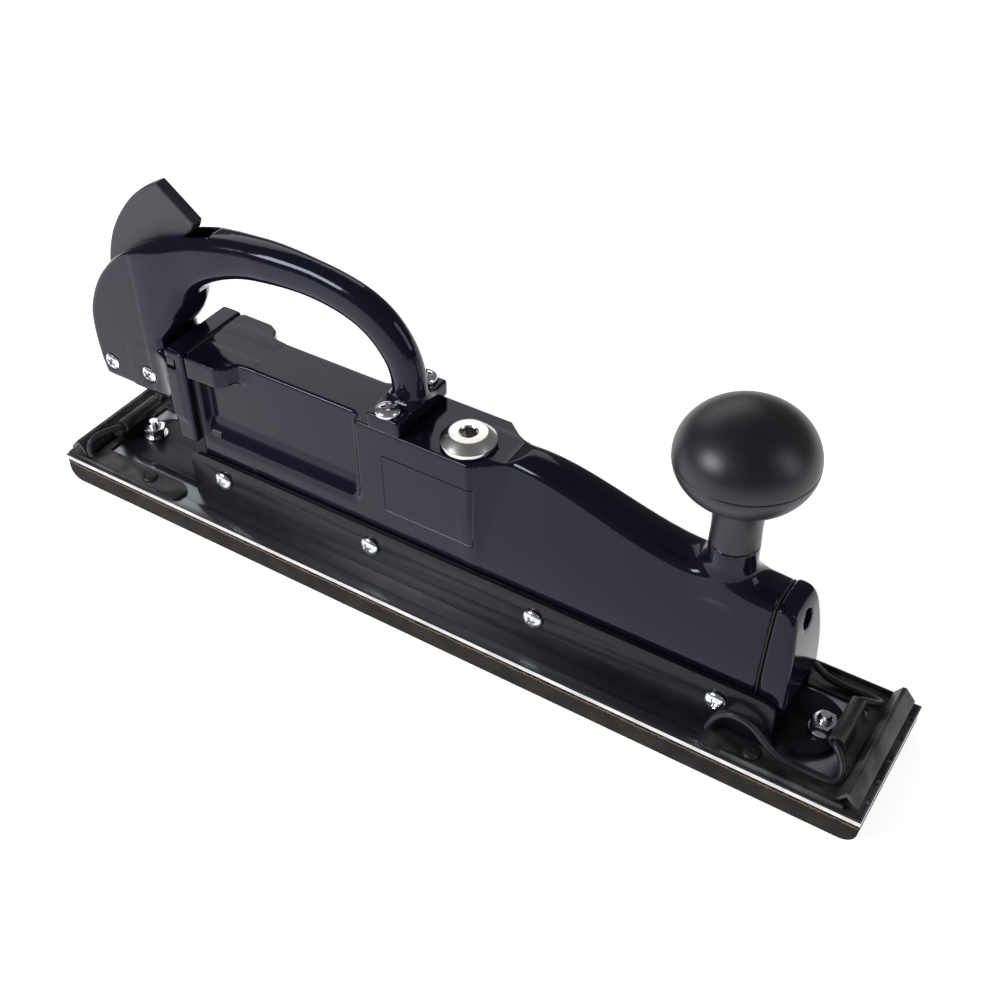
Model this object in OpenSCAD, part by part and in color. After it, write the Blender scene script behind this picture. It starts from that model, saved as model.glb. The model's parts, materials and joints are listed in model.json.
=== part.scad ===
// In-line air sander: a long sanding shoe driven to and fro under a cast body.
// Millimetres. +X points to the front knob, +Y to the far side, +Z up.
// The origin is the middle of the pad's underside.

/* [Sanding shoe] */
// Length of the pad and the base plate
shoe_len = 430; // [400:1:470]
// Width of the pad and the base plate
shoe_w = 70; // [66:1:76]
// Thickness of the rubber pad
pad_t = 12.8; // [10:0.1:16]
// Radius under the pad's two ends
pad_end_r = 7; // [4:0.5:9]
// Thickness of the steel base plate
plate_t = 2.2; // [2:0.1:3]

/* [Carrier channel] */
// Thickness of the carrier's bent sheet
carrier_t = 2.2; // [1.8:0.1:2.4]
// How far the flanges reach behind the body
flange_back = 7.55; // [5:0.05:10]
// How far the flanges reach in front of the body
flange_fore = 11.05; // [8:0.05:13]
// Height of the flanges above the plate
flange_h = 26.5; // [24:0.5:30]
// Half width of the tongues at the carrier's ends
tongue_r = 17.5; // [16:0.5:18.5]
// Distance of each stud from the end of the shoe
stud_inset = 30.5; // [28:0.5:34]
// Height of the stud tops above the plate
stud_h = 11.4; // [10:0.1:15.5]

/* [Body casting] */
// Half width of the body
body_hw = 18; // [17:0.1:19]
// Height of the body's flat top above the floor
body_top = 100; // [96:0.5:104]
// Height of the body's underside above the floor
body_low = 20; // [19:0.5:22]
// Rear face of the body casting
body_rear = -130.5; // [-134:0.5:-127]
// Front face of the body casting
body_front = 158.4; // [154:0.2:162]
// Half width of the thin web between the side pockets
web_hw = 11.5; // [10.5:0.1:13]
// Depth of the two blank label panels
label_depth = 0.5; // [0.3:0.1:0.8]

/* [Cylinder and piston] */
// Radius of the cylinder bore
bore_r = 12.05; // [11:0.05:12.5]
// Height of the bore's axis
bore_z = 50; // [49:0.5:52]
// Running clearance of the piston in the bore
piston_gap = 0.05; // [0.02:0.01:0.1]

/* [Pinion drive] */
// Module of both racks and both pinions
gear_m = 1.5; // [1.3:0.05:1.6]
// Teeth of the upper pinion, which the piston turns
upper_teeth = 12; // [12:1:12]
// Teeth of the lower pinion, which drives the shoe
lower_teeth = 10; // [10:1:10]
// Pinion axis along the body
pinion_x = 14.5; // [12:0.5:18]
// Radius of the pinion shaft
shaft_r = 5; // [4:0.1:5.5]
// Half of the shoe's stroke
half_stroke = 11; // [8:0.5:11]

/* [Handle] */
// Half width of the handle's rear block
block_hw = 14; // [13:0.5:15]
// Half width of the handle's front leg
leg_hw = 6.6; // [6:0.1:8]
// Half width of the lever slot
slot_hw = 4.6; // [4:0.1:5]
// Thickness of the throttle lever
lever_t = 6.2; // [5:0.1:7]
// Radius of the lever pin
lever_pin_r = 2; // [1.5:0.1:2.5]

/* [Knob] */
// Knob axis along the body
knob_x = 135.2; // [133:0.1:138]
// Radius of the knob at its parting line
knob_r = 27.9; // [24:0.1:30]
// Height of the knob's parting line above its boss
knob_rise = 41.4; // [38:0.1:46]
// Height of the knob above its parting line
knob_top = 22; // [18:0.5:26]
// Depth of the knob below its parting line
knob_low = 20.2; // [18:0.1:22]

/* [Sheet clips] */
// Thickness of the clip base sheet
clip_t = 1.2; // [1:0.1:1.5]
// From the side of the clip base to the side of the shoe
clip_margin = 1.6; // [1:0.1:3]
// From the end of the jaw bar to the side of the clip base
jaw_margin = 1.4; // [1:0.1:3]
// Half width of the rolled finger tube
tube_hw = 12.3; // [10:0.1:14]
// Radius of the wire springs
wire_r = 1.6; // [1.2:0.1:2]

/* [Air inlet] */
// Radius of the inlet thread's wall
inlet_r = 5.7; // [5.4:0.1:6]
// Length of the inlet thread
inlet_len = 14; // [12:0.5:16]

/* [Hidden] */
$fn = 48;

// Clearances
fit = 0.05;          // between fixed parts that seat in one another
run = 0.04;          // radial running clearance of pins and shafts
slide_gap = 0.12;    // guide strips in the body's grooves
wall_gap = 0.6;      // between the body's sides and the flanges
eps = 0.01;

// Heights above the floor
plate_z = pad_t + plate_t;
floor_z = plate_z + carrier_t;
flange_top = plate_z + flange_h;
deck_z = 17.2;                      // height of the carrier's floor that the body is drawn for
lift = floor_z - deck_z;            // how much the real floor of the carrier is higher
drawn_top = 100;                    // height of the body's top that the handle is drawn for
rise = body_top - drawn_top;        // how much the real top is higher
end_x = shoe_len / 2;
stud_x = end_x - stud_inset;
tongue_mid = stud_x - 8.5;          // where each tongue's round end is centred
cap_low = 37;                       // underside of the front cap
bore_end = body_rear + 9;           // inner face of the rear cylinder head

// Widths
flange_in = body_hw + wall_gap;
flange_out = flange_in + carrier_t;

// Guide strips
strip_z = 28;
strip_h = 6;
strip_in = body_hw - 3.7;
strip_rear = -126;
strip_front = 148;

// Side screws
side_screw_first = -118;
side_screw_pitch = 87.4;
side_screw_x = [for (i = [0:3]) side_screw_first + i * side_screw_pitch];
side_screw_z = strip_z + strip_h / 2;
side_screw_r = 2.5;

// Front cap and its gasket
gasket_t = 0.8;
cap_rear = body_front + gasket_t;
cap_front = body_front + 13.6;
cap_lean = 4;                       // how far the cap's face leans back at its top
tongue_low = 31;
low_front = body_front - 13.4;                    // where the body's guided foot ends
cap_screw_x = body_front - 6.9;
cap_screw_y = 11.4;
cap_hw = body_hw - 0.2;             // half width of the cap at its foot
cap_screw_r = 1.5;

knob_base = body_top + 0.4;         // top of the boss that the knob stands on

// Exhaust outlet
exhaust_r = 4.5;
exhaust_z = 74;
felt_r = 5.9;

// Air valve chamber of the body
drawn_valve_z = 84;
valve_z = drawn_valve_z + rise;
sleeve_r = 8;
spool_r = 4.5;
port_r = 4;
chamber_end = -30;
front_way_r = 1.6;
front_way_y = 9;
front_way_z = 63.5;
exhaust_way_y = 10.5;

// Handle
flange_rear = body_rear - gasket_t - 11;
handle_seat = body_rear - gasket_t;
flange_hw = body_hw + 3.4;
flange_z = 48.5;
rear_hole_r = 2.5;
rear_screws = [[17, 93], [-17, 93], [14.5, 54.5], [-14.5, 54.5]];
foot_top = drawn_top + 8.2;
foot_x = [-28.5, -11.5];
foot_hw = 19;
foot_screw_x = -20;
foot_screw_y = 13.9;
side_screws = [[-188.3, 70.9], [-164, 72.2]];

// Throttle
pivot_x = -178;
pivot_z = 114;
block_top = 101;
stem_x = pivot_x + 15;
stem_r = 3.4;
stem_top = 110.5;
stem_head = 3.5;
stem_travel = 4.5;
stem_foot_z = 71.5;
cam_r = 3;
pocket_hw = 10.5;
chamber_front = -153;
inlet_z = 82;

// Pinion stack
upper_r = gear_m * upper_teeth / 2;
lower_r = gear_m * lower_teeth / 2;
addendum = 0.8 * gear_m;
dedendum = 1.05 * gear_m;
pressure = 25;
backlash = 0.2;
gear_hole_r = upper_r + addendum + 0.85;
low_hole_r = lower_r + addendum + 0.35;
upper_gear_z = [bore_z - 4.5, bore_z + 4.5];
lower_gear_z = [deck_z + 1.4, deck_z + 9];
rack_h = 8.6;
rack_z = [floor_z, floor_z + rack_h];
plug_r = gear_hole_r + 1.35;
plug_rim = 2.6;                     // thickness of the plug's rim
plug_cone = 3.2;                    // height of the cone above the rim
shaft_top = body_top - 17;
rack_half = 25;
rack_t = 5.5;                       // from the lower rack's back to its pitch line
rack_back = 0.6 - body_hw;
pinion_y = rack_back + rack_t + lower_r;
rack_screw_x = 15;
rack_screw_y = (rack_back + pinion_y - lower_r) / 2 - 0.8;

// Clips: places along the shoe are measured from its end
clip_z = plate_z + clip_t;
clip_hw = shoe_w / 2 - clip_margin;
jaw_hw = clip_hw - jaw_margin;
tube_z = plate_z + 12.2;
tube_r = 3.4;
tube_x = end_x - 21.4;
pivot_clip_x = end_x - 12;
pivot_clip_z = plate_z + 2.5;
pivot_r = 1.1;
clip_end = end_x - 0.6;
rail_end = end_x - 73.5;
window_hw = flange_out;
window_x = end_x - 18;
rivet_x = end_x - 50.6;
lip_t = 1;                          // thickness of the clip base's turned-up lip
rivet_y = (flange_out + clip_hw - lip_t) / 2;
rivet_r = 1.8;
rail_wire_y = -flange_out - 4.6;    // where the front wire runs along the rail

// Knob neck, radius and height above the boss
neck = [[10.2, 0], [10, 2.5], [11.4, 19.6], [13.6, 25.6], [0, 29.6]];
knob_stud_r = 4;

// ---------------------------------------------------------------- helpers

// An outline in the XZ plane, pushed out to both sides of the middle plane
module side_slab(points, hw) {
    translate([0, hw, 0]) rotate([90, 0, 0]) linear_extrude(2 * hw) polygon(points);
}

// A cylinder that runs along X from x0 to x1
module along_x(x0, x1, r, y = 0, z = 0) {
    translate([x0, y, z]) rotate([0, 90, 0]) cylinder(h = x1 - x0, r = r);
}

// A cylinder that runs along Y from y0 to y1
module along_y(y0, y1, r, x = 0, z = 0) {
    translate([x, y1, z]) rotate([90, 0, 0]) cylinder(h = y1 - y0, r = r);
}

// A cylinder that stands from z0 to z1
module upright(z0, z1, r, x = 0, y = 0) {
    translate([x, y, z0]) cylinder(h = z1 - z0, r = r);
}

// The shape and its mirror image on the other side
module both_sides() {
    children();
    mirror([0, 1, 0]) children();
}

// A cross recess cut into a screw head whose top is at z = 0
module cross_recess(size, depth) {
    for (a = [0, 90])
        rotate([0, 0, a]) translate([-size / 2, -size / 8, -depth]) cube([size, size / 4, depth + 1]);
}

// A pan-head screw that stands on z = 0 with its shank going down
module pan_screw(head_r, head_h, shank_r, shank_len) {
    difference() {
        union() {
            rotate_extrude() intersection() {
                translate([0, head_h - 2.2 * head_r]) circle(r = 2.2 * head_r, $fn = 96);
                square([head_r, head_h]);
            }
            translate([0, 0, -shank_len]) cylinder(h = shank_len + 0.5, r = shank_r);
        }
        translate([0, 0, head_h]) cross_recess(1.15 * head_r, 0.55 * head_h);
    }
}

// A countersunk screw whose head lies flush with z = 0
module flat_screw(head_r, shank_r, len, cross = true) {
    difference() {
        union() {
            translate([0, 0, shank_r - head_r]) cylinder(h = head_r - shank_r, r1 = shank_r, r2 = head_r);
            translate([0, 0, -len]) cylinder(h = len - head_r + shank_r + eps, r = shank_r);
        }
        if (cross) cross_recess(1.2 * head_r, 0.4 * head_r);
    }
}

// The hole that a flat_screw sits in
module flat_screw_hole(head_r, shank_r, len) {
    translate([0, 0, shank_r - head_r - fit]) cylinder(h = head_r - shank_r + fit + 0.02,
        r1 = shank_r + fit, r2 = head_r + fit + 0.02);
    translate([0, 0, -len]) cylinder(h = len, r = shank_r + fit);
}

// Unit vector, and a smooth curve through hand-set points
function unit(v) = v / norm(v);
function spline_at(p, i, t) =
    let (a = p[max(i - 1, 0)], b = p[i], c = p[i + 1], d = p[min(i + 2, len(p) - 1)])
    0.5 * (2 * b + (c - a) * t + (2 * a - 5 * b + 4 * c - d) * t * t + (3 * b - a - 3 * c + d) * t * t * t);
function smooth(p, n) = concat([for (i = [0:len(p) - 2], k = [0:n - 1]) spline_at(p, i, k / n)],
    [p[len(p) - 1]]);
function tangent(p, i) = unit(p[min(i + 1, len(p) - 1)] - p[max(i - 1, 0)]);
function turn_frame(p, i, n0) = i == 0 ? n0 :
    let (prev = turn_frame(p, i - 1, n0), t = tangent(p, i)) unit(prev - t * (prev * t));

// A round wire along a path
module wire(path, r, sides = 10) {
    n0 = unit(cross(tangent(path, 0), [0.3, 0.2, 1]));
    rings = [for (i = [0:len(path) - 1])
        let (t = tangent(path, i), n = turn_frame(path, i, n0), b = cross(t, n))
        for (k = [0:sides - 1]) path[i] + r * (cos(360 * k / sides) * n + sin(360 * k / sides) * b)];
    count = len(path);
    walls = [for (i = [0:count - 2], k = [0:sides - 1])
        let (a = i * sides + k, b = i * sides + (k + 1) % sides)
        each [[a, b, b + sides], [a, b + sides, a + sides]]];
    caps = [[for (k = [sides - 1:-1:0]) k], [for (k = [0:sides - 1]) (count - 1) * sides + k]];
    polyhedron(points = rings, faces = [for (f = concat(walls, caps)) [for (i = [len(f) - 1:-1:0]) f[i]]]);
}

// ---------------------------------------------------------------- gear shapes

function involute(a) = tan(a) * 180 / PI - a;
// Half the angle that a tooth takes up at radius r, on a pinion of pitch radius rp
function tooth_half(rp, r) = (PI * gear_m - backlash) / (4 * rp) * 180 / PI
    + involute(pressure) - involute(acos(min(rp * cos(pressure) / r, 1)));

// Outline of an involute pinion with one tooth pointing along `first`
module pinion_outline(teeth, first) {
    rp = gear_m * teeth / 2;
    rb = rp * cos(pressure);
    ra = rp + addendum;
    rf = rp - dedendum;
    radii = [for (i = [0:4]) rb + (ra - rb) * i / 4];
    polygon([for (k = [0:teeth - 1])
        let (mid = first + 360 * k / teeth)
        each concat(
            [rf * [cos(mid - tooth_half(rp, rb)), sin(mid - tooth_half(rp, rb))]],
            [for (r = radii) r * [cos(mid - tooth_half(rp, r)), sin(mid - tooth_half(rp, r))]],
            [for (i = [4:-1:0]) radii[i] * [cos(mid + tooth_half(rp, radii[i])),
                sin(mid + tooth_half(rp, radii[i]))]],
            [rf * [cos(mid + tooth_half(rp, rb)), sin(mid + tooth_half(rp, rb))]])]);
}

// Outline of a rack from x0 to x1: teeth point to +Y, pitch line on y = 0, a gap at x = 0
module rack_outline(x0, x1, back) {
    pitch = PI * gear_m;
    half = (pitch - backlash) / 4;
    top = half - addendum * tan(pressure);
    foot = half + dedendum * tan(pressure);
    first = ceil(x0 / pitch - 0.5 + foot / pitch);
    last = floor(x1 / pitch - 0.5 - foot / pitch);
    polygon(concat([[x1, -back], [x0, -back], [x0, -dedendum]],
        [for (k = [first:last]) let (c = (k + 0.5) * pitch)
            each [[c - foot, -dedendum], [c - top, addendum], [c + top, addendum], [c + foot, -dedendum]]],
        [[x1, -dedendum]]));
}

// ---------------------------------------------------------------- body casting

// Slab of the front barrel at x, from half width and height pairs
module barrel_slab(x, section) {
    translate([x, 0, 0]) rotate([90, 0, 90]) linear_extrude(0.2)
        polygon(concat(section, [for (i = [len(section) - 1:-1:0]) [-section[i][0], section[i][1]]]));
}

barrel = [
    [25, [[body_hw, body_low], [body_hw, 80], [15.5, 96], [body_hw - 6, body_top], [5, body_top + 1]]],
    [47, [[body_hw, cap_low], [body_hw, 70], [13.5, 92], [8.2, body_top], [4, body_top + 1.5]]],
    [72, [[body_hw, cap_low], [body_hw - 0.5, 62], [14, 84], [9.5, 95.3], [4, 98.2]]],
    [98, [[body_hw, cap_low], [17.4, 56], [14, 76], [10, 88], [4, 91.4]]],
    [122, [[body_hw, cap_low], [17.4, 52], [14, 70], [10.2, 84.4], [4, 87.4]]],
    [body_front - 0.2, [[body_hw, cap_low], [17.3, 50], [14.2, 68], [10.6, 82.4], [4, 85.2]]]];

module barrel_shell() {
    for (i = [0:4])
        hull() {
            barrel_slab(barrel[i][0], barrel[i][1]);
            barrel_slab(barrel[i + 1][0], barrel[i + 1][1]);
        }
}

// The rear half: a thin web over a sloping floor, with an end wall and two pairs of lugs
module rear_half() {
    web = [[body_hw, cap_low], [body_hw, 52], [web_hw, 61.4], [web_hw, body_top]];
    translate([body_rear, 0, 0]) rotate([90, 0, 90]) linear_extrude(-30 - body_rear)
        polygon(concat(web, [for (i = [3:-1:0]) [-web[i][0], web[i][1]]]));
    translate([body_rear, -body_hw, cap_low]) cube([3.5, 2 * body_hw, body_top - cap_low - 6]);
    translate([-36, 0, cap_low]) linear_extrude(body_top - cap_low)
        polygon([[-4, -web_hw], [2, -body_hw], [58, -body_hw], [71, -7.8], [71, 7.8], [58, body_hw],
            [2, body_hw], [-4, web_hw]]);
    both_sides() translate([0, 0, 88]) linear_extrude(body_top - 88)
        polygon([[body_rear, 10], [body_rear, flange_hw], [-112, flange_hw - 0.8], [-106, 13], [-106, 10]]);
}

module guided_foot() {
    translate([body_rear, -body_hw, body_low]) cube([low_front - body_rear, 2 * body_hw,
        cap_low - body_low + eps]);
}

module housing() {
    color([0.02, 0.02, 0.025])
    difference() {
        union() {
            rear_half();
            guided_foot();
            barrel_shell();
            upright(80, knob_base, 10.3, knob_x);
        }
        // grooves for the guide strips
        both_sides() translate([body_rear - 1, strip_in - slide_gap, strip_z - slide_gap])
            cube([body_front - body_rear + 2, 10, strip_h + 2 * slide_gap]);
        // cylinder bore
        along_x(body_rear - 1, body_front + 1, bore_r, 0, bore_z);
        // flat seat for the plug's head
        upright(body_top, body_top + 3, plug_r + fit, pinion_x, pinion_y);
        // pinion well from the top, bush seat below it and the rack's room underneath
        upright(upper_gear_z[0] - 1, body_top + 3, gear_hole_r, pinion_x, pinion_y);
        upright(body_low - 1, upper_gear_z[0], low_hole_r, pinion_x, pinion_y);
        translate([pinion_x - rack_half - half_stroke - 2, -body_hw - 1, body_low - 1])
            cube([2 * (rack_half + half_stroke + 2), body_hw + 1 + pinion_y - lower_r + addendum + 1.2,
                deck_z + rack_h + 1.8 - body_low]);
        upright(body_low - 1, lower_gear_z[1] + 0.8, lower_r + addendum + 0.7, pinion_x, pinion_y);
        // air valve chamber and its way to the rear of the cylinder
        along_x(body_rear - 1, chamber_end, sleeve_r + fit, 0, valve_z);
        upright(bore_z + 5, valve_z, 2, -105);
        // way to the front of the cylinder, past the pinion
        upright(front_way_z - 1, valve_z - 2, front_way_r, -70, front_way_y - 1.4);
        along_x(-72, 141, front_way_r, front_way_y, front_way_z);
        upright(bore_z + 5, front_way_z, front_way_r, 140, front_way_y);
        // exhaust way, past the pinion to the outlet at the front
        along_y(0, exhaust_way_y, 2, chamber_end - 3, exhaust_z + 5);
        along_x(chamber_end - 4, 60, 2, exhaust_way_y, exhaust_z + 3);
        along_y(0, exhaust_way_y, 2, 58, exhaust_z + 2);
        along_x(56, body_front + 1, felt_r + fit, 0, exhaust_z);
        // knob stud, handle screws and front cap screws
        upright(knob_base - 17.4, knob_base + 20, knob_stud_r + fit, knob_x);
        for (s = [-1, 1]) upright(body_top - 12, body_top + 1, rear_hole_r + fit, foot_screw_x,
            s * foot_screw_y);
        for (p = rear_screws) along_x(body_rear - 1, body_rear + 14, rear_hole_r + fit, p[0], p[1] + rise);
        for (s = [-1, 1]) upright(cap_low - 1, 42.6, cap_screw_r + fit, cap_screw_x, s * cap_screw_y);
        // blank label panels
        both_sides() translate([-23, body_hw - label_depth, 54]) cube([47.5, 5, 32]);
    }
}

// The cap's side outline: its face leans back and rounds over at the top
module front_cap() {
    color([0.02, 0.02, 0.025])
    difference() {
        union() {
            intersection() {
                side_slab([[cap_rear, cap_low], [cap_front, cap_low], [cap_front - 0.4, 46],
                    [cap_front - cap_lean + 1, 78], [cap_front - cap_lean - 1, 82], [cap_front - 8, 84.6],
                    [cap_rear, 85.4]], 30);
                translate([cap_rear, 0, 0]) rotate([90, 0, 90]) linear_extrude(20)
                    polygon([[cap_hw, cap_low], [cap_hw - 0.5, 50], [14.2, 68], [10.6, 82.4], [4, 85.2],
                        [-4, 85.2], [-10.6, 82.4], [-14.2, 68], [0.5 - cap_hw, 50], [-cap_hw, cap_low]]);
            }
            translate([low_front + 1.5, -14, tongue_low]) cube([cap_front - low_front - 3, 28,
                cap_low - tongue_low]);
        }
        along_x(cap_rear - 1, cap_front + 1, exhaust_r, 0, exhaust_z);
        for (s = [-1, 1]) upright(tongue_low - 1, cap_low + 1, cap_screw_r + fit, cap_screw_x,
            s * cap_screw_y);
    }
}

module front_cap_gasket() {
    color([0.25, 0.22, 0.18])
    translate([body_front, 0, 0]) rotate([90, 0, 90]) linear_extrude(gasket_t) difference() {
        polygon([[17.2, cap_low + 0.6], [16.8, 50], [13.7, 68], [10.1, 82], [4, 84.7],
            [-4, 84.7], [-10.1, 82], [-13.7, 68], [-16.8, 50], [-17.2, cap_low + 0.6]]);
        translate([0, bore_z]) circle(r = 11);
        translate([0, exhaust_z]) circle(r = felt_r);
    }
}

module front_cap_screws() {
    color("silver")
    for (s = [-1, 1]) translate([cap_screw_x, s * cap_screw_y, tongue_low]) rotate([180, 0, 0])
        pan_screw(2.5, 1.5, cap_screw_r, 11);
}

// ---------------------------------------------------------------- handle

handle_out = [[-194, 61.5], [-196.3, 72], [-197, 86], [-196, 97.5], [-192.6, 107.4], [-187.5, 117],
    [-181.5, 125], [-173, 133.6], [-162, 141.2], [-148, 148], [-134, 153.2], [-119, 157.6], [-100, 160.6],
    [-80, 161.6], [-62, 160.8], [-46, 158.2], [-33, 153.6], [-22.5, 146], [-14.6, 135], [-10.4, 122],
    [-9.2, foot_top - 1]];
handle_in = [[-26, foot_top - 1], [-26.8, 119], [-31, 128], [-38.5, 135.4], [-48.5, 140], [-62, 142.6],
    [-79, 143.4], [-97, 141.6], [-112, 137.4], [-124, 131.2], [-132, 123.6], [-137, 112], [-141.6, 104.6],
    [-149.5, 95.5], [-149.5, 61.5]];
handle_plan = [[-198, block_hw], [-165, block_hw], [-140, 12.4], [-112, 9.2], [-80, 7.4], [-50, leg_hw],
    [-8, leg_hw]];

module handle() {
    color([0.02, 0.02, 0.025])
    difference() {
        union() {
            intersection() {
                side_slab(concat(handle_out, handle_in), 20);
                translate([0, 0, 60]) linear_extrude(110) polygon(concat(handle_plan,
                    [for (i = [6:-1:0]) [handle_plan[i][0], -handle_plan[i][1]]]));
            }
            // rear flange, and the webs that spread to it
            translate([flange_rear, -flange_hw, flange_z]) cube([handle_seat - flange_rear, 2 * flange_hw,
                drawn_top - flange_z]);
            translate([0, 0, 61.5]) linear_extrude(34) polygon([[-172, -block_hw], [-160, -block_hw - 0.6],
                [-150, -17], [flange_rear + 1, -flange_hw], [flange_rear + 1, flange_hw], [-150, 17],
                [-160, block_hw + 0.6], [-172, block_hw]]);
            // front foot with its two lugs
            translate([foot_x[0], -foot_hw, drawn_top]) cube([foot_x[1] - foot_x[0], 2 * foot_hw,
                foot_top - drawn_top]);
        }
        // valve block chamber, open at the rear
        translate([-200, -pocket_hw, 64.5]) cube([200 + chamber_front, 2 * pocket_hw,
            block_top + 0.5 - 64.5]);
        translate([-182.5, -pocket_hw, block_top]) cube([25, 2 * pocket_hw, 17.5]);
        // lever slot, wider inside the skin than at its mouth
        side_slab([[-119, 175], [-119, 153.5], [-112.5, 151], [-112.5, 141.6], [-121, 138.2],
            [-131.6, 129.6], [-140.6, 115.4], [-150, 104], [-189.5, 104], [-191.5, 118], [-189.5, 175]],
                slot_hw);
        // air way to the body
        along_x(chamber_front - 1, handle_seat + 1, port_r, 0, drawn_valve_z);
        // screw holes
        for (p = rear_screws) {
            along_x(flange_rear - 1, handle_seat + 1, rear_hole_r + fit, p[0], p[1]);
            along_x(flange_rear - 30, flange_rear + 5, 4.4, p[0], p[1]);
        }
        for (s = [-1, 1]) upright(drawn_top - 1, foot_top + 1, rear_hole_r + fit, foot_screw_x,
            s * foot_screw_y);
        for (p = side_screws, s = [-1, 1]) translate([p[0], s * block_hw, p[1]]) rotate([-90 * s, 0, 0])
            flat_screw_hole(4.2, 2, 6);
    }
}

module rear_gasket() {
    color([0.25, 0.22, 0.18])
    difference() {
        translate([handle_seat, -body_hw + 0.6, flange_z + 0.6]) cube([gasket_t, 2 * body_hw - 1.2,
            drawn_top - flange_z - 1.2]);
        along_x(handle_seat - 1, body_rear + 1, sleeve_r, 0, drawn_valve_z);
        for (p = rear_screws) along_x(handle_seat - 1, body_rear + 1, rear_hole_r + 0.2, p[0], p[1]);
    }
}

module rear_flange_screws() {
    color("dimgray")
    for (p = rear_screws) translate([flange_rear + 5, p[0], p[1]]) difference() {
        union() {
            along_x(-4.5, 0, 4.2);
            along_x(-eps, 18, rear_hole_r);
        }
        translate([-5, 0, 0]) rotate([0, 90, 0]) cylinder(h = 3, r = 2.3, $fn = 6);
    }
}

module handle_foot_screws() {
    color("silver")
    for (s = [-1, 1]) translate([foot_screw_x, s * foot_screw_y, foot_top]) rotate([0, 0, 25])
        pan_screw(5.6, 3.6, rear_hole_r, 19);
}

module handle_side_screws() {
    color("silver")
    for (p = side_screws, s = [-1, 1]) translate([p[0], s * block_hw, p[1]]) rotate([-90 * s, 0, 0])
        flat_screw(4.2, 2, 8.5);
}

// ---------------------------------------------------------------- throttle

module valve_block() {
    color("dimgray")
    difference() {
        union() {
            translate([-194, -pocket_hw + fit, 64.7]) cube([194 + chamber_front - 0.4,
                2 * (pocket_hw - fit), block_top - 64.7]);
            both_sides() translate([pivot_x - 4, lever_t / 2 + 0.3, block_top - eps])
                cube([8, pocket_hw - fit - lever_t / 2 - 0.3, 17]);
        }
        along_x(-195, -194 + inlet_len + 4, inlet_r + 2.2, 0, inlet_z);
        along_x(-194 + inlet_len + 3, chamber_front + 1, 2.6, 0, inlet_z);
        upright(stem_foot_z, block_top + 1, stem_r + run, stem_x);
        upright(stem_foot_z - stem_travel - 0.6, stem_foot_z + 4.5, 4.8, stem_x);
        along_y(-20, 20, lever_pin_r + fit, pivot_x, pivot_z);
        for (p = side_screws, s = [-1, 1]) translate([p[0], s * block_hw, p[1]]) rotate([-90 * s, 0, 0])
            translate([0, 0, -9]) cylinder(h = 9, r = 2 + fit);
    }
}

module inlet_bushing() {
    color("darkgoldenrod")
    difference() {
        along_x(-194, -194 + inlet_len, inlet_r + 2.2 - fit, 0, inlet_z);
        along_x(-195, -194 + inlet_len + 1, inlet_r, 0, inlet_z);
    }
}

module inlet_screen() {
    color("silver")
    difference() {
        along_x(-194 + inlet_len + 0.3, -194 + inlet_len + 1.1, inlet_r + 2, 0, inlet_z);
        for (y = [-4:2:4], z = [-4:2:4]) if (norm([y, z]) < 5)
            along_x(-194 + inlet_len, -194 + inlet_len + 2, 0.6, y, inlet_z + z);
    }
}

lever_outline = [[-146.7, 174.8], [-153.4, 171.2], [-159.4, 167.1], [-167.2, 159.9], [-175.4, 149.8],
    [-181, 140.6], [-184.8, 131.6], [-187.2, 123.2], [-185.6, 116], [-182.8, 111], [-178, 109],
    [-168, 112.6], [-159, 113.8], [-152, 123], [-147, 134], [-141, 146], [-129.6, 156.2], [-127.9, 160.1]];

module throttle_lever() {
    color([0.05, 0.05, 0.06])
    difference() {
        union() {
            side_slab(lever_outline, lever_t / 2);
            along_y(-lever_t / 2, lever_t / 2, cam_r, stem_x, stem_top + 0.1 + cam_r);
        }
        along_y(-20, 20, lever_pin_r + run, pivot_x, pivot_z);
    }
}

module lever_pin() {
    color("silver") along_y(-pocket_hw + 0.3, pocket_hw - 0.3, lever_pin_r, pivot_x, pivot_z);
}

module valve_stem() {
    color("silver") {
        // the waist lets air past once the lever has pushed it down to the air way
        upright(stem_foot_z, inlet_z + 1.6, stem_r, stem_x);
        upright(inlet_z + 1.5, inlet_z + 7.6, 1.4, stem_x);
        upright(inlet_z + 7.5, stem_top - 1, stem_r, stem_x);
        upright(stem_top - stem_head, stem_top, 4.8, stem_x);
        upright(stem_foot_z, stem_foot_z + 2, 4.4, stem_x);
    }
}

module valve_spring() {
    color("gray")
    difference() {
        upright(block_top, stem_top - stem_head, 4.7, stem_x);
        upright(block_top - 1, stem_top, 3.7, stem_x);
    }
}

// ---------------------------------------------------------------- knob

module knob() {
    color([0.06, 0.06, 0.065])
    difference() {
        translate([knob_x, 0, 0]) rotate_extrude($fn = 96) union() {
            translate([0, knob_base + knob_rise]) intersection() {
                scale_up(knob_top / knob_r);
                square([knob_r, knob_top + 1]);
            }
            translate([0, knob_base + knob_rise]) intersection() {
                scale_up(knob_low / knob_r);
                translate([0, -knob_low - 1]) square([knob_r, knob_low + 1 + eps]);
            }
            translate([0, knob_base]) polygon(concat([[0, 0]], neck));
        }
        upright(knob_base - 1, knob_base + 21.6, knob_stud_r + fit, knob_x);
    }
}

// Right half of an ellipse with half width knob_r and the given height ratio
module scale_up(ratio) {
    polygon([for (a = [-90:5:90]) knob_r * [cos(a), ratio * sin(a)]]);
}

module knob_stud() {
    color("silver") upright(knob_base - 16.4, knob_base + 20.6, knob_stud_r, knob_x);
}

// ---------------------------------------------------------------- pinion drive

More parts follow.
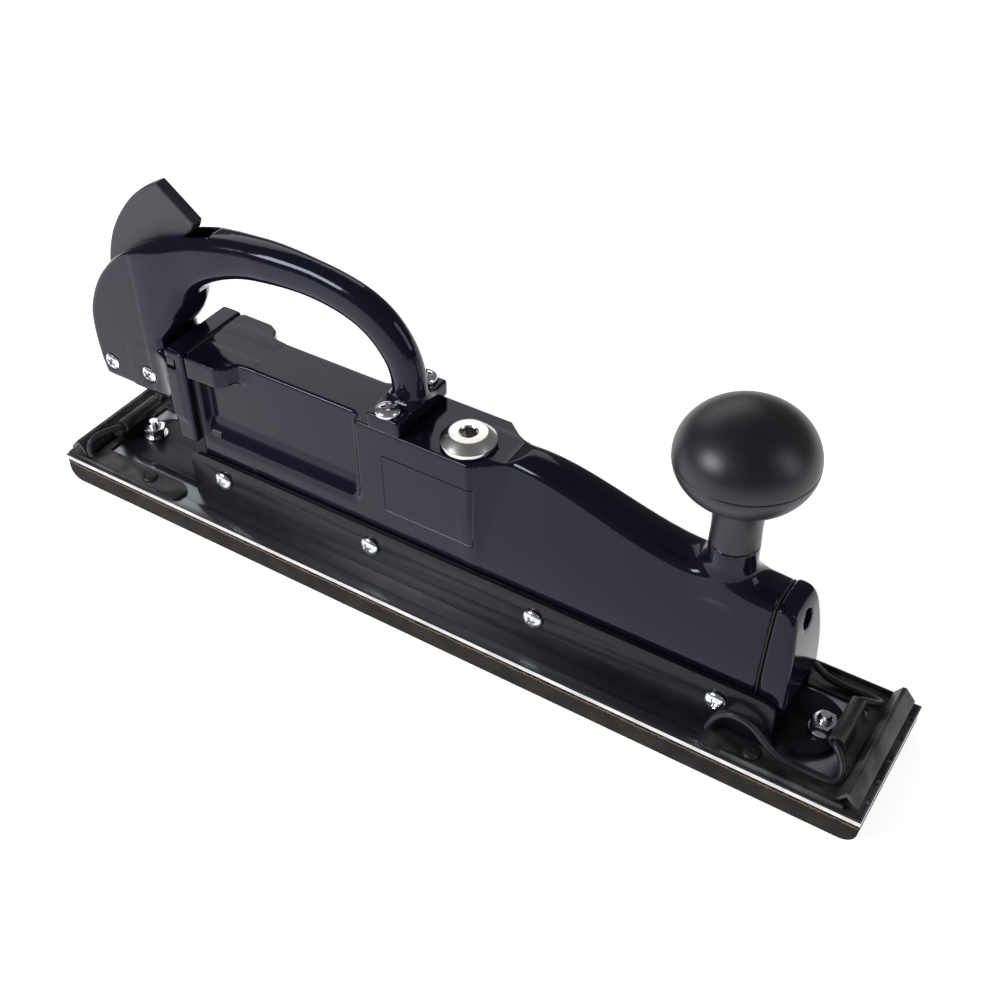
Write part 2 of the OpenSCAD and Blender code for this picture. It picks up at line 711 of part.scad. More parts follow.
module pinion_plug() {
    color([0.75, 0.73, 0.7])
    translate([pinion_x, pinion_y, 0]) difference() {
        union() {
            upright(body_top, body_top + plug_rim, plug_r);
            translate([0, 0, body_top + plug_rim - eps]) cylinder(h = plug_cone, r1 = plug_r, r2 = 8.6);
            upright(body_top - 11, body_top + eps, gear_hole_r - fit);
        }
        translate([0, 0, body_top + 3]) cylinder(h = 10, r = 4.1, $fn = 6);
    }
}

module plug_seal() {
    color([0.05, 0.05, 0.05])
    translate([pinion_x, pinion_y, 0]) difference() {
        upright(body_top - 13, body_top - 11, gear_hole_r - fit);
        upright(body_top - 14, body_top - 10, gear_hole_r - 2);
    }
}

module pinion() {
    color("gray")
    translate([pinion_x, pinion_y, 0]) {
        upright(lower_gear_z[0], shaft_top, shaft_r);
        translate([0, 0, upper_gear_z[0]]) linear_extrude(upper_gear_z[1] - upper_gear_z[0])
            pinion_outline(upper_teeth, 90);
        translate([0, 0, lower_gear_z[0]]) linear_extrude(lower_gear_z[1] - lower_gear_z[0])
            pinion_outline(lower_teeth, -90);
    }
}

module bush(z0, z1, r) {
    color("peru") translate([pinion_x, pinion_y, 0]) difference() {
        upright(z0, z1, r);
        upright(z0 - 1, z1 + 1, shaft_r + run);
    }
}

module upper_bush() { bush(shaft_top - 13, shaft_top - 1, gear_hole_r - fit); }

module lower_bush() { bush(lower_gear_z[1] + 1.2, bore_z - bore_r - 0.95, low_hole_r - fit); }

// The piston: two heads joined by a bar whose rack faces the pinion
module piston() {
    piston_r = bore_r - piston_gap;
    rack_y = pinion_y + upper_r;
    color("lightgray")
    difference() {
        union() {
            for (x = [-75, 90]) along_x(x, x + 15, piston_r, 0, bore_z);
            intersection() {
                along_x(-61, 91, piston_r - 0.1, 0, bore_z);
                translate([-61, rack_y + dedendum, bore_z - 20]) cube([152, 20, 40]);
            }
            translate([pinion_x, rack_y, upper_gear_z[0] + 0.3]) rotate([0, 0, 180])
                linear_extrude(upper_gear_z[1] - upper_gear_z[0] - 0.6)
                rack_outline(-30, 30, dedendum + 1);
        }
        for (x = [-68.5, 96.5]) difference() {
            along_x(x, x + 2, piston_r + 1, 0, bore_z);
            along_x(x - 1, x + 3, piston_r - 2, 0, bore_z);
        }
    }
}

module piston_seals() {
    color([0.08, 0.08, 0.08])
    for (x = [-68.4, 96.6]) difference() {
        along_x(x, x + 1.8, bore_r - piston_gap, 0, bore_z);
        along_x(x - 1, x + 3, bore_r - piston_gap - 2 + fit, 0, bore_z);
    }
}

module rear_cylinder_head() {
    color("gray") along_x(body_rear + 0.2, bore_end, bore_r - fit, 0, bore_z);
}

module spool_sleeve() {
    color("gray")
    difference() {
        along_x(-118, -62, sleeve_r, 0, valve_z);
        along_x(-119, -61, spool_r + run, 0, valve_z);
        for (x = [-105, -70]) upright(valve_z - 10, valve_z, 2, x);
    }
}

module spool() {
    color("silver") {
        for (x = [-112, -93, -74]) along_x(x, x + 7, spool_r, 0, valve_z);
        along_x(-114, -65, 2.4, 0, valve_z);
    }
}

module spool_stops() {
    color("gray")
    for (x = [-124, -61.8]) difference() {
        along_x(x, x + 5.8, sleeve_r - fit, 0, valve_z);
        along_x(x - 1, x + 7, 1.6, 0, valve_z);
    }
}

module exhaust_felt() {
    color([0.5, 0.48, 0.42]) along_x(141, body_front - 1, felt_r - fit, 0, exhaust_z);
}

// ---------------------------------------------------------------- sanding shoe

module guide_strips() {
    color("tan")
    difference() {
        both_sides() translate([strip_rear, strip_in, strip_z])
            cube([strip_front - strip_rear, flange_in - strip_in, strip_h]);
        for (x = side_screw_x, s = [-1, 1]) translate([x, s * (strip_in + 3), side_screw_z])
            rotate([-90 * s, 0, 0]) translate([0, 0, -4]) cylinder(h = 10, r = side_screw_r + fit);
    }
}

module carrier() {
    x0 = body_rear - flange_back;
    x1 = body_front + flange_fore;
    round = 6;
    color([0.03, 0.03, 0.035])
    difference() {
        union() {
            // floor with a round tongue at each end
            translate([0, 0, plate_z]) linear_extrude(carrier_t) {
                translate([x0, -flange_out]) square([x1 - x0, 2 * flange_out]);
                for (s = [-1, 1]) {
                    translate([s * tongue_mid, 0]) circle(r = tongue_r);
                    translate([s * tongue_mid / 2, 0]) square([tongue_mid, 2 * tongue_r], center = true);
                }
            }
            // side flanges with rounded top corners
            both_sides() translate([0, flange_out, 0]) rotate([90, 0, 0]) linear_extrude(carrier_t) union() {
                translate([x0, plate_z]) square([x1 - x0, flange_h - round]);
                translate([x0 + round, plate_z]) square([x1 - x0 - 2 * round, flange_h]);
                for (x = [x0 + round, x1 - round]) translate([x, flange_top - round]) circle(r = round);
            }
        }
        for (x = side_screw_x) along_y(-flange_out - 1, flange_out + 1, side_screw_r + fit, x,
            side_screw_z + lift);
        for (s = [-1, 1]) upright(plate_z - 1, floor_z + 1, 3 + fit, s * stud_x);
        for (x = [-1, 1]) translate([pinion_x + x * rack_screw_x, rack_screw_y, plate_z])
            rotate([180, 0, 0]) flat_screw_hole(2.6, 1.5, 6);
    }
}

module carrier_side_screws() {
    color("silver")
    for (x = side_screw_x, s = [-1, 1]) translate([x, s * flange_out, side_screw_z]) rotate([-90 * s, 0, 0])
        pan_screw(4.9, 2.9, side_screw_r, flange_out - strip_in - 0.6);
}

module base_plate() {
    color([0.55, 0.55, 0.53])
    difference() {
        translate([-shoe_len / 2, -shoe_w / 2, pad_t]) cube([shoe_len, shoe_w, plate_t]);
        for (s = [-1, 1]) {
            upright(pad_t - 1, plate_z + 1, 3 + fit, s * stud_x);
            for (t = [-1, 1]) upright(pad_t + 0.4, plate_z + 1, rivet_r + fit, s * rivet_x, t * rivet_y);
        }
    }
}

module backing_pad() {
    half = shoe_len / 2 - 0.4;
    color([0.12, 0.1, 0.09])
    difference() {
        translate([0, shoe_w / 2 - 0.3, 0]) rotate([90, 0, 0]) linear_extrude(shoe_w - 0.6) intersection() {
            translate([-half, 0]) square([2 * half, pad_t]);
            union() {
                translate([-half + pad_end_r, 0]) square([2 * (half - pad_end_r), pad_t]);
                translate([-half, pad_end_r]) square([2 * half, pad_t]);
                for (s = [-1, 1]) translate([s * (half - pad_end_r), pad_end_r]) circle(r = pad_end_r);
            }
        }
        for (s = [-1, 1]) upright(pad_t - 3.2, pad_t + 1, 6.2, s * stud_x);
    }
}

module shoe_rack() {
    rack_y = pinion_y - lower_r;
    color("gray")
    difference() {
        translate([pinion_x, rack_y, rack_z[0]]) linear_extrude(rack_z[1] - rack_z[0])
            rack_outline(-rack_half, rack_half, rack_y - rack_back);
        for (x = [-1, 1]) upright(rack_z[0] - 1, rack_z[0] + 6, 1.5 + fit, pinion_x + x * rack_screw_x,
            rack_screw_y);
    }
}

module rack_screws() {
    color("dimgray")
    for (x = [-1, 1]) translate([pinion_x + x * rack_screw_x, rack_screw_y, plate_z])
        rotate([180, 0, 0]) flat_screw(2.6, 1.5, 6.5, cross = false);
}

module shoe_studs() {
    color("silver")
    for (s = [-1, 1]) {
        upright(pad_t - 2.6, plate_z + stud_h, 3, s * stud_x);
        upright(pad_t - 2.8, pad_t, 5.6, s * stud_x);
    }
}

module stud_washers() {
    color("silver")
    for (s = [-1, 1]) difference() {
        upright(floor_z, floor_z + 1.2, 6.2, s * stud_x);
        upright(floor_z - 1, floor_z + 3, 3.1, s * stud_x);
    }
}

module stud_nuts() {
    color("silver")
    for (s = [-1, 1]) difference() {
        translate([s * stud_x, 0, floor_z + 1.2]) rotate([0, 0, 20]) intersection() {
            cylinder(h = 4.4, r = 5.8, $fn = 6);
            union() {
                cylinder(h = 3.7, r = 6);
                translate([0, 0, 3.7 - eps]) cylinder(h = 0.8, r1 = 6, r2 = 5.2);
            }
        }
        upright(floor_z, floor_z + 8, 3 + fit, s * stud_x);
    }
}

// ---------------------------------------------------------------- sheet clips

// All clip shapes are drawn for the front end; this turns one round to the rear
module at_rear() { mirror([1, 0, 0]) children(); }

module clip_base(rail_lip) {
    color([0.07, 0.065, 0.06])
    difference() {
        union() {
            translate([0, 0, plate_z]) linear_extrude(clip_t) difference() {
                union() {
                    translate([rail_end + 6, -clip_hw]) square([clip_end - rail_end - 6, 2 * clip_hw]);
                    for (s = [-1, 1]) {
                        translate([rail_end + 6, s * (clip_hw - 6)]) circle(r = 6);
                        translate([rail_end + 6, s * (clip_hw + window_hw) / 2 - 4.2]) square([8, 8.4]);
                    }
                }
                translate([rail_end - 10, -window_hw]) square([window_x - rail_end + 10, 2 * window_hw]);
                for (k = [-2:2]) translate([clip_end - 1.6, k * 12 - 1.6]) square([5, 3.2]);
            }
            both_sides() translate([rail_end + 12, clip_hw - lip_t, plate_z])
                cube([clip_end - rail_end - 20, lip_t, rail_lip]);
        }
        for (s = [-1, 1]) upright(plate_z - 1, clip_z + 1, rivet_r + fit, rivet_x, s * rivet_y);
    }
}

// Points given as an inset from the shoe's end and a height above the base plate
function at_end(points) = [for (p = points) [end_x - p[0], plate_z + p[1]]];
function at_end_3d(points) = [for (p = points) [end_x - p[0], p[1], plate_z + p[2]]];

jaw_middle = [[3.1, 3.2], [2.8, 4.6], [7.4, 10], [9, 9.9], [13, 3.7], [17.1, 4.7], [18.8, 10],
    [21.2, 9.9], [18.4, 3.7], [12.3, 2.3], [8.4, 8], [4, 2.9]];
jaw_side = [[3.1, 3.2], [2.8, 4.6], [7.4, 10], [9, 9.9], [12.4, 4.6], [11.4, 3.8], [8.4, 8], [4, 2.9]];

// The jaw: a folded bar that grips the sheet, and a rolled finger tube behind it
module clip_jaw() {
    color([0.07, 0.065, 0.06]) {
        side_slab(at_end(jaw_middle), tube_hw);
        for (s = [-1, 1]) translate([0, s * (jaw_hw + tube_hw) / 2, 0])
            side_slab(at_end(jaw_side), (jaw_hw - tube_hw) / 2);
        along_y(-jaw_hw, jaw_hw, pivot_r, pivot_clip_x, pivot_clip_z);
        difference() {
            along_y(-tube_hw, tube_hw, tube_r, tube_x, tube_z);
            along_y(-tube_hw - 1, tube_hw + 1, wire_r + 0.35, tube_x, tube_z);
        }
    }
}

// Wire spring routes: from a rail to the finger tube and its mirror image
front_route = [[71.2, rail_wire_y, 3.4], [68.4, rail_wire_y, 11.5], [63.4, rail_wire_y, 16.6],
    [57.4, rail_wire_y, 17.4], [51.4, rail_wire_y, 15], [46, rail_wire_y, 9.6], [40.4, rail_wire_y, 5.2],
    [34, rail_wire_y + 0.2, 3.6], [25, rail_wire_y + 0.2, 3.4], [17.4, -25, 3.8], [14.4, -22.6, 5.6],
    [15.2, -19, 8.2], [18.4, -15.6, 11], [21, -13.4, 12.2], [21.4, -10, 12.2]];
rear_route = [[15, -30.8, 3], [14.2, -30.4, 6.6], [14, -28.6, 10], [15.8, -23.4, 12],
    [19.2, -16.6, 12.4], [21.4, -12.6, 12.2], [21.4, -10, 12.2]];

module wire_spring(route) {
    color([0.1, 0.09, 0.08]) both_sides() wire(smooth(at_end_3d(route), 3), wire_r, 10);
    color([0.1, 0.09, 0.08]) along_y(-10.02, 10.02, wire_r, tube_x, tube_z);
}

module clip_rivets() {
    color([0.3, 0.28, 0.25])
    for (s = [-1, 1]) {
        upright(plate_z - 1.4, clip_z + 0.2, rivet_r, rivet_x, s * rivet_y);
        translate([rivet_x, s * rivet_y, clip_z]) rotate_extrude() intersection() {
            translate([0, -3.5]) circle(r = 5.3, $fn = 64);
            square([4, 3]);
        }
    }
}

module front_clip_base() { clip_base(3.4); }
module front_clip_jaw() { clip_jaw(); }
module front_clip_wire() { wire_spring(front_route); }
module front_clip_rivets() { clip_rivets(); }
module rear_clip_base() { at_rear() clip_base(2.2); }
module rear_clip_jaw() { at_rear() clip_jaw(); }
module rear_clip_wire() { at_rear() wire_spring(rear_route); }
module rear_clip_rivets() { at_rear() clip_rivets(); }

// ---------------------------------------------------------------- output

// The body and what it carries follow the carrier's floor
module on_deck() { translate([0, 0, lift]) children(); }
// The handle and what it carries follow the body's top as well
module on_top() { translate([0, 0, lift + rise]) children(); }

on_deck() housing();
on_deck() front_cap();
on_deck() front_cap_gasket();
on_deck() front_cap_screws();
on_top() rear_gasket();
on_top() rear_flange_screws();
on_top() handle();
on_top() handle_foot_screws();
on_top() handle_side_screws();
on_top() valve_block();
on_top() inlet_bushing();
on_top() inlet_screen();
on_top() throttle_lever();
on_top() lever_pin();
on_top() valve_stem();
on_top() valve_spring();
on_deck() knob();
on_deck() knob_stud();
on_deck() pinion_plug();
on_deck() plug_seal();
on_deck() pinion();
on_deck() upper_bush();
on_deck() lower_bush();
on_deck() piston();
on_deck() piston_seals();
on_deck() rear_cylinder_head();
on_deck() spool_sleeve();
on_deck() spool();
on_deck() spool_stops();
on_deck() exhaust_felt();
on_deck() guide_strips();
carrier();
on_deck() carrier_side_screws();
base_plate();
backing_pad();
shoe_rack();
rack_screws();
shoe_studs();
stud_washers();
stud_nuts();
front_clip_base();
front_clip_jaw();
front_clip_wire();
front_clip_rivets();
rear_clip_base();
rear_clip_jaw();
rear_clip_wire();
rear_clip_rivets();
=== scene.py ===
"""Looks of an in-line air sander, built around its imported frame.

Every length in the dataclasses is in millimetres, in the frame's own axes: +X to the front knob,
+Y to the far side and +Z up. Meshes are made in metres at the end of each build.
"""

import json
import logging
import math
from dataclasses import dataclass
from enum import Enum
from typing import Callable, Sequence

import bmesh
import bpy
import numpy as np
from mathutils import Matrix, Vector


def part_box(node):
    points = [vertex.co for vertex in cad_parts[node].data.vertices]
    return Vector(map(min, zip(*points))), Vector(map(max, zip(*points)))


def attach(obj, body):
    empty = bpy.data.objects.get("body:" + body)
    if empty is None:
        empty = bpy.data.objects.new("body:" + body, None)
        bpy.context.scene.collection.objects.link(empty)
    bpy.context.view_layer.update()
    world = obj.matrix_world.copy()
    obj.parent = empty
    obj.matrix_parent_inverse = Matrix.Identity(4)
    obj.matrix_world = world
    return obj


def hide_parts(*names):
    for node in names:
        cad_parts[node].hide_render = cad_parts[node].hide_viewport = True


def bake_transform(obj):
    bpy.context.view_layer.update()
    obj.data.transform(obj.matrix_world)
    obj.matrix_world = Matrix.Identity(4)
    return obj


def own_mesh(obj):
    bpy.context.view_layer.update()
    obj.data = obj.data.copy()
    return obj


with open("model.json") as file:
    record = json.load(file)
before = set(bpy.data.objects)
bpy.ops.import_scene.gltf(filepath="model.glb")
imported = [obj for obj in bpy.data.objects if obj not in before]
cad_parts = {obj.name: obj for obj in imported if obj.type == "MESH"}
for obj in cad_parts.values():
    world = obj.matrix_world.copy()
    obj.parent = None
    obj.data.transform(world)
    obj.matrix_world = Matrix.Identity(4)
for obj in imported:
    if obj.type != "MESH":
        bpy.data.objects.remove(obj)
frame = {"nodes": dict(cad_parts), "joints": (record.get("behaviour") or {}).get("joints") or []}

MM = 0.001
LOG = logging.getLogger("air_sander")

Array = np.ndarray
Field = Callable[[Array], Array]
Point2 = tuple[float, float]
Point3 = tuple[float, float, float]


# ---------------------------------------------------------------- frame measures


def edges_of(node: str) -> tuple[Vector, Vector]:
    """Returns the lowest and highest corner of a frame node, in millimetres.

    Args:
        node: The name of the node in the frame.

    Returns:
        The two corners.
    """
    low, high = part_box(node)
    return low / MM, high / MM


def joint_place(name: str) -> Vector:
    """Returns where a hinge's axis passes, in millimetres.

    Args:
        name: The joint's name in the record.

    Returns:
        A point on the axis.
    """
    for joint in frame["joints"]:
        if joint["name"] == name:
            return Vector(joint["pos_m"]) / MM
    raise KeyError(name)


# ---------------------------------------------------------------- solid fields


def smooth_curve(points: Sequence[Sequence[float]], steps: int) -> Array:
    """Runs a smooth curve through points.

    Args:
        points: The points that the curve passes through, in any number of dimensions.
        steps: How many stretches stand between two neighbouring points.

    Returns:
        The points of the finer curve, the last one included.
    """
    p = np.array(points, float)
    out = []
    for i in range(len(p) - 1):
        a, b = p[max(i - 1, 0)], p[i]
        c, d = p[i + 1], p[min(i + 2, len(p) - 1)]
        for t in np.arange(steps) / steps:
            out.append(
                0.5
                * (
                    2 * b
                    + (c - a) * t
                    + (2 * a - 5 * b + 4 * c - d) * t * t
                    + (3 * b - a - 3 * c + d) * t**3
                )
            )
    out.append(p[-1])
    return np.array(out)


def ease(x: Array, start: float, end: float) -> Array:
    """Goes smoothly from 0 at start to 1 at end."""
    t = np.clip((x - start) / (end - start), 0, 1)
    return t * t * (3 - 2 * t)


def soft_max(a: Array, b: Array, blend: float | Array) -> Array:
    """Returns the larger of two values, rounded over where they are within blend of each other."""
    h = np.maximum(blend - np.abs(a - b), 0) / np.maximum(blend, 1e-6)
    return np.maximum(a, b) + h * h * blend / 4


def overlap(blend: float, *parts: Field) -> Field:
    """Returns what all the parts share, with edges rounded by blend."""

    def field(p: Array) -> Array:
        """Distance to the shared solid."""
        d = parts[0](p)
        for part in parts[1:]:
            d = soft_max(d, part(p), blend)
        return d

    return field


def join(blend: float, *parts: Field) -> Field:
    """Returns the parts grown together, with fillets of size blend."""

    def field(p: Array) -> Array:
        """Distance to the joined solid."""
        d = parts[0](p)
        for part in parts[1:]:
            d = -soft_max(-d, -part(p), blend)
        return d

    return field


def cut(blend: float, base: Field, *tools: Field) -> Field:
    """Returns the base with the tools taken away, with edges rounded by blend."""

    def field(p: Array) -> Array:
        """Distance to what is left."""
        d = base(p)
        for tool in tools:
            d = soft_max(d, -tool(p), blend)
        return d

    return field


def block(low: Point3, high: Point3, blend: float = 0.0) -> Field:
    """Returns a box with edges rounded by blend."""
    middle = (np.array(low) + np.array(high)) / 2
    half = (np.array(high) - np.array(low)) / 2

    def field(p: Array) -> Array:
        """Distance to the box."""
        q = np.abs(p - middle) - half
        return soft_max(soft_max(q[:, 0], q[:, 1], blend), q[:, 2], blend)

    return field


def rod(
    centre: Point3, axis: int, radius: float, half: float, blend: float = 0.0
) -> Field:
    """Returns a round bar along one of the frame's axes."""
    others = [i for i in range(3) if i != axis]
    mid = np.array(centre)

    def field(p: Array) -> Array:
        """Distance to the bar."""
        q = p - mid
        side = np.hypot(q[:, others[0]], q[:, others[1]]) - radius
        return soft_max(side, np.abs(q[:, axis]) - half, blend)

    return field


def outline(points: Sequence[Sequence[float]], axes: tuple[int, int] = (0, 2)) -> Field:
    """Returns an endless bar whose cross-section is an outline.

    Args:
        points: The outline's corners in order.
        axes: The two frame axes that the corners are given in.

    Returns:
        The bar's field.
    """
    start = np.array(points, float)
    end = np.roll(start, -1, 0)

    def field(p: Array) -> Array:
        """Distance to the outline."""
        q = p[:, axes]
        best = np.full(len(q), 1e12)
        inside = np.zeros(len(q), bool)
        for s, e in zip(start, end):
            d = e - s
            length = float(d @ d)
            if length < 1e-12:
                continue
            r = q - s
            t = np.clip((r @ d) / length, 0, 1)
            gap = r - t[:, None] * d
            best = np.minimum(best, np.einsum("ij,ij->i", gap, gap))
            crosses = (s[1] > q[:, 1]) != (e[1] > q[:, 1])
            with np.errstate(divide="ignore", invalid="ignore"):
                inside ^= crosses & (q[:, 0] < s[0] + r[:, 1] * d[0] / d[1])
        return np.where(inside, -1.0, 1.0) * np.sqrt(best)

    return field


def within(width: Callable[[Array], Array] | float, axis: int = 1) -> Field:
    """Returns the space within a half width of the middle plane, which may change from place to place."""

    def field(p: Array) -> Array:
        """Distance past the half width."""
        half = width(p) if callable(width) else width
        return np.abs(p[:, axis]) - half

    return field


def slope_of(field: Field, p: Array, reach: float) -> Array:
    """Returns the gradient of a field by differences over a short reach."""
    out = np.empty_like(p)
    for i in range(3):
        step = np.zeros(3)
        step[i] = reach
        out[:, i] = (field(p + step) - field(p - step)) / (2 * reach)
    return out


class FieldMesher:
    """Turns a solid field into a closed mesh of even quads that lie on its surface."""

    def __init__(self, step: float, settle: int = 3) -> None:
        """Keeps the size of a quad and how often its corners are pulled onto the surface."""
        self.step = step
        self.settle = settle

    def samples(self, field: Field, low: Array, count: Array) -> Array:
        """Samples a field on a grid, finely only near the surface.

        Args:
            field: The solid.
            low: The grid's lowest corner.
            count: How many grid points there are each way.

        Returns:
            The distances at the grid points.
        """
        coarse = 4
        rough_axes = [
            low[i] + np.arange(0, count[i] + coarse, coarse) * self.step
            for i in range(3)
        ]
        rough = np.stack(np.meshgrid(*rough_axes, indexing="ij"), -1)
        near = field(rough.reshape(-1, 3)).reshape(rough.shape[:3])
        index = [np.minimum((np.arange(n) + 2) // coarse, near.shape[i] - 1) for i, n in enumerate(count)]
        values = near[np.ix_(*index)].copy()
        band = np.abs(values) < coarse * self.step * 1.6
        where = np.argwhere(band)
        values[band] = field(low + where * self.step)
        return values

    def build(self, name: str, field: Field, low: Sequence[float], high: Sequence[float]) -> bpy.types.Object:
        """Builds the mesh object.

        Args:
            name: The object's name.
            field: The solid, in millimetres.
            low: The lowest corner of the space that holds it.
            high: The highest corner.

        Returns:
            The object, in metres.
        """
        base = np.array(low, float) - 2.37 * self.step
        count = np.ceil((np.array(high, float) - base) / self.step + 3.4).astype(int)
        d = self.samples(field, base, count)
        inside = d < 0
        cells = tuple(n - 1 for n in count)
        corners = [
            (slice(i, i + cells[0]), slice(j, j + cells[1]), slice(k, k + cells[2]))
            for i in (0, 1)
            for j in (0, 1)
            for k in (0, 1)
        ]
        filled = sum(inside[c].astype(np.int8) for c in corners)
        mixed = (filled > 0) & (filled < 8)
        number = np.full(cells, -1)
        number[mixed] = np.arange(mixed.sum())
        cell = np.argwhere(mixed)
        total = np.zeros((len(cell), 3))
        hits = np.zeros(len(cell))
        for axis in range(3):
            others = [i for i in range(3) if i != axis]
            for u in (0, 1):
                for v in (0, 1):
                    a = cell.copy()
                    a[:, others[0]] += u
                    a[:, others[1]] += v
                    b = a.copy()
                    b[:, axis] += 1
                    da, db = d[tuple(a.T)], d[tuple(b.T)]
                    cross = (da < 0) != (db < 0)
                    t = da / np.where(cross, da - db, 1)
                    spot = a.astype(float)
                    spot[:, axis] += t
                    total[cross] += spot[cross]
                    hits += cross
        p = base + total / hits[:, None] * self.step
        for _ in range(self.settle):
            grad = slope_of(field, p, 0.05)
            size = np.maximum((grad * grad).sum(1), 0.05)
            move = -field(p)[:, None] * grad / size[:, None]
            p = p + np.clip(move, -self.step / 2, self.step / 2)
        quads = []
        for axis in range(3):
            u, v = [i for i in range(3) if i != axis]
            span = [slice(0, n) for n in count]
            ahead = [slice(0, n) for n in count]
            span[axis], ahead[axis] = slice(0, -1), slice(1, None)
            change = inside[tuple(span)] != inside[tuple(ahead)]
            edge = np.argwhere(change)
            edge = edge[
                (edge[:, u] > 0) & (edge[:, v] > 0) & (edge[:, u] < cells[u]) & (edge[:, v] < cells[v])
            ]
            ring = []
            for du, dv in ((-1, -1), (0, -1), (0, 0), (-1, 0)):
                around = edge.copy()
                around[:, u] += du
                around[:, v] += dv
                ring.append(number[tuple(around.T)])
            ring = np.stack(ring, 1)
            flip = inside[tuple(edge.T)] == (axis == 1)
            ring[flip] = ring[flip][:, ::-1]
            quads.append(ring)
        mesh = bpy.data.meshes.new(name)
        mesh.from_pydata((p * MM).tolist(), [], np.concatenate(quads).tolist())
        mesh.polygons.foreach_set("use_smooth", [True] * len(mesh.polygons))
        normals = slope_of(field, p, 0.25)
        normals /= np.maximum(np.linalg.norm(normals, axis=1), 1e-9)[:, None]
        mesh.normals_split_custom_set_from_vertices(normals.tolist())
        return placed(name, mesh)


# ---------------------------------------------------------------- mesh helpers


def placed(name: str, mesh: bpy.types.Mesh) -> bpy.types.Object:
    """Puts a mesh in the scene as an object at the origin."""
    piece = bpy.data.objects.new(name, mesh)
    bpy.context.scene.collection.objects.link(piece)
    return piece


def from_bmesh(name: str, shape: bmesh.types.BMesh, sharp: float = 35.0) -> bpy.types.Object:
    """Makes an object of a bmesh, smooth except across edges sharper than an angle.

    Args:
        name: The object's name.
        shape: The shape, in millimetres. It is freed.
        sharp: The angle in degrees past which an edge stays sharp.

    Returns:
        The object, in metres.
    """
    bmesh.ops.recalc_face_normals(shape, faces=shape.faces)
    bmesh.ops.scale(shape, vec=(MM, MM, MM), verts=shape.verts)
    for face in shape.faces:
        face.smooth = True
    for edge in shape.edges:
        if len(edge.link_faces) == 2:
            edge.smooth = edge.calc_face_angle(0) < math.radians(sharp)
    mesh = bpy.data.meshes.new(name)
    shape.to_mesh(mesh)
    shape.free()
    return placed(name, mesh)


def lathe(profile: Sequence[Point2], segments: int = 64) -> bmesh.types.BMesh:
    """Spins a profile of radius and height pairs about +Z into a closed shape.

    Args:
        profile: The profile from the bottom up; a radius of 0 closes a pole.
        segments: How many sides the round shape has.

    Returns:
        The shape, in millimetres.
    """
    shape = bmesh.new()
    rings = []
    for radius, height in profile:
        if radius < 1e-6:
            rings.append([shape.verts.new((0, 0, height))])
        else:
            turn = [2 * math.pi * k / segments for k in range(segments)]
            rings.append(
                [shape.verts.new((radius * math.cos(a), radius * math.sin(a), height)) for a in turn]
            )
    for low, high in zip(rings, rings[1:]):
        for k in range(segments):
            n = (k + 1) % segments
            corners = [low[k % len(low)], low[n % len(low)], high[n % len(high)], high[k % len(high)]]
            unique = list(dict.fromkeys(corners))
            if len(unique) > 2:
                shape.faces.new(unique)
    return shape


def prism(points: Sequence[Point2], low: float, high: float, axis: int = 1) -> bmesh.types.BMesh:
    """Extrudes an outline along one axis.

    Args:
        points: The outline in the other two axes, in X, Y, Z order.
        low: Where the shape starts along the axis.
        high: Where it ends.
        axis: The axis that it runs along.

    Returns:
        The shape, in millimetres.
    """
    shape = bmesh.new()
    ends = []
    for level in (low, high):
        row = []
        for a, b in points:
            spot = [a, b]
            spot.insert(axis, level)
            row.append(shape.verts.new(spot))
        ends.append(row)
    shape.faces.new(ends[0])
    shape.faces.new(ends[1][::-1])
    for k in range(len(points)):
        n = (k + 1) % len(points)
        shape.faces.new((ends[0][k], ends[0][n], ends[1][n], ends[1][k]))
    bmesh.ops.recalc_face_normals(shape, faces=shape.faces)
    return shape


def round_edges(shape: bmesh.types.BMesh, width: float, segments: int = 2, over: float = 30.0) -> None:
    """Rounds every edge of a shape that is sharper than an angle, in place."""
    edges = [
        e
        for e in shape.edges
        if len(e.link_faces) == 2 and e.calc_face_angle(0) > math.radians(over)
    ]
    bmesh.ops.bevel(
        shape,
        geom=edges,
        offset=width,
        segments=segments,
        profile=0.5,
        affect="EDGES",
        clamp_overlap=True,
    )


def boolean(base: bpy.types.Object, tool: bpy.types.Object, operation: str) -> bpy.types.Object:
    """Joins a tool to a piece or cuts it out, and removes the tool.

    Args:
        base: The piece that stays.
        tool: The shape that is used up.
        operation: UNION, DIFFERENCE or INTERSECT.

    Returns:
        The piece.
    """
    change = base.modifiers.new("shape", "BOOLEAN")
    change.object, change.operation, change.solver = tool, operation, "EXACT"
    result = baked(base)
    base.modifiers.clear()
    base.data = result
    if not result.has_custom_normals:
        result.set_sharp_from_angle(angle=math.radians(30))
    bpy.data.objects.remove(tool)
    return base


def baked(piece: bpy.types.Object) -> bpy.types.Mesh:
    """Returns a plain mesh of a piece with its modifiers applied."""
    graph = bpy.context.evaluated_depsgraph_get()
    graph.update()
    return bpy.data.meshes.new_from_object(piece.evaluated_get(graph))


def softened_copy(node: str, name: str, width: float, segments: int = 2) -> bpy.types.Object:
    """Copies a frame node and rounds its edges a little.

    Args:
        node: The frame node.
        name: The new piece's name.
        width: How far the rounding reaches from each edge.
        segments: How many strips make the rounding.

    Returns:
        The piece, which stands for the node.
    """
    shape = bmesh.new()
    shape.from_mesh(frame["nodes"][node].data)
    bmesh.ops.scale(shape, vec=(1 / MM,) * 3, verts=shape.verts)
    bmesh.ops.remove_doubles(shape, verts=shape.verts, dist=0.002)
    bmesh.ops.dissolve_limit(
        shape, angle_limit=math.radians(0.6), verts=shape.verts, edges=shape.edges
    )
    round_edges(shape, width, segments, 28.0)
    piece = from_bmesh(name, shape)
    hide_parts(node)
    return piece


# ---------------------------------------------------------------- finishes


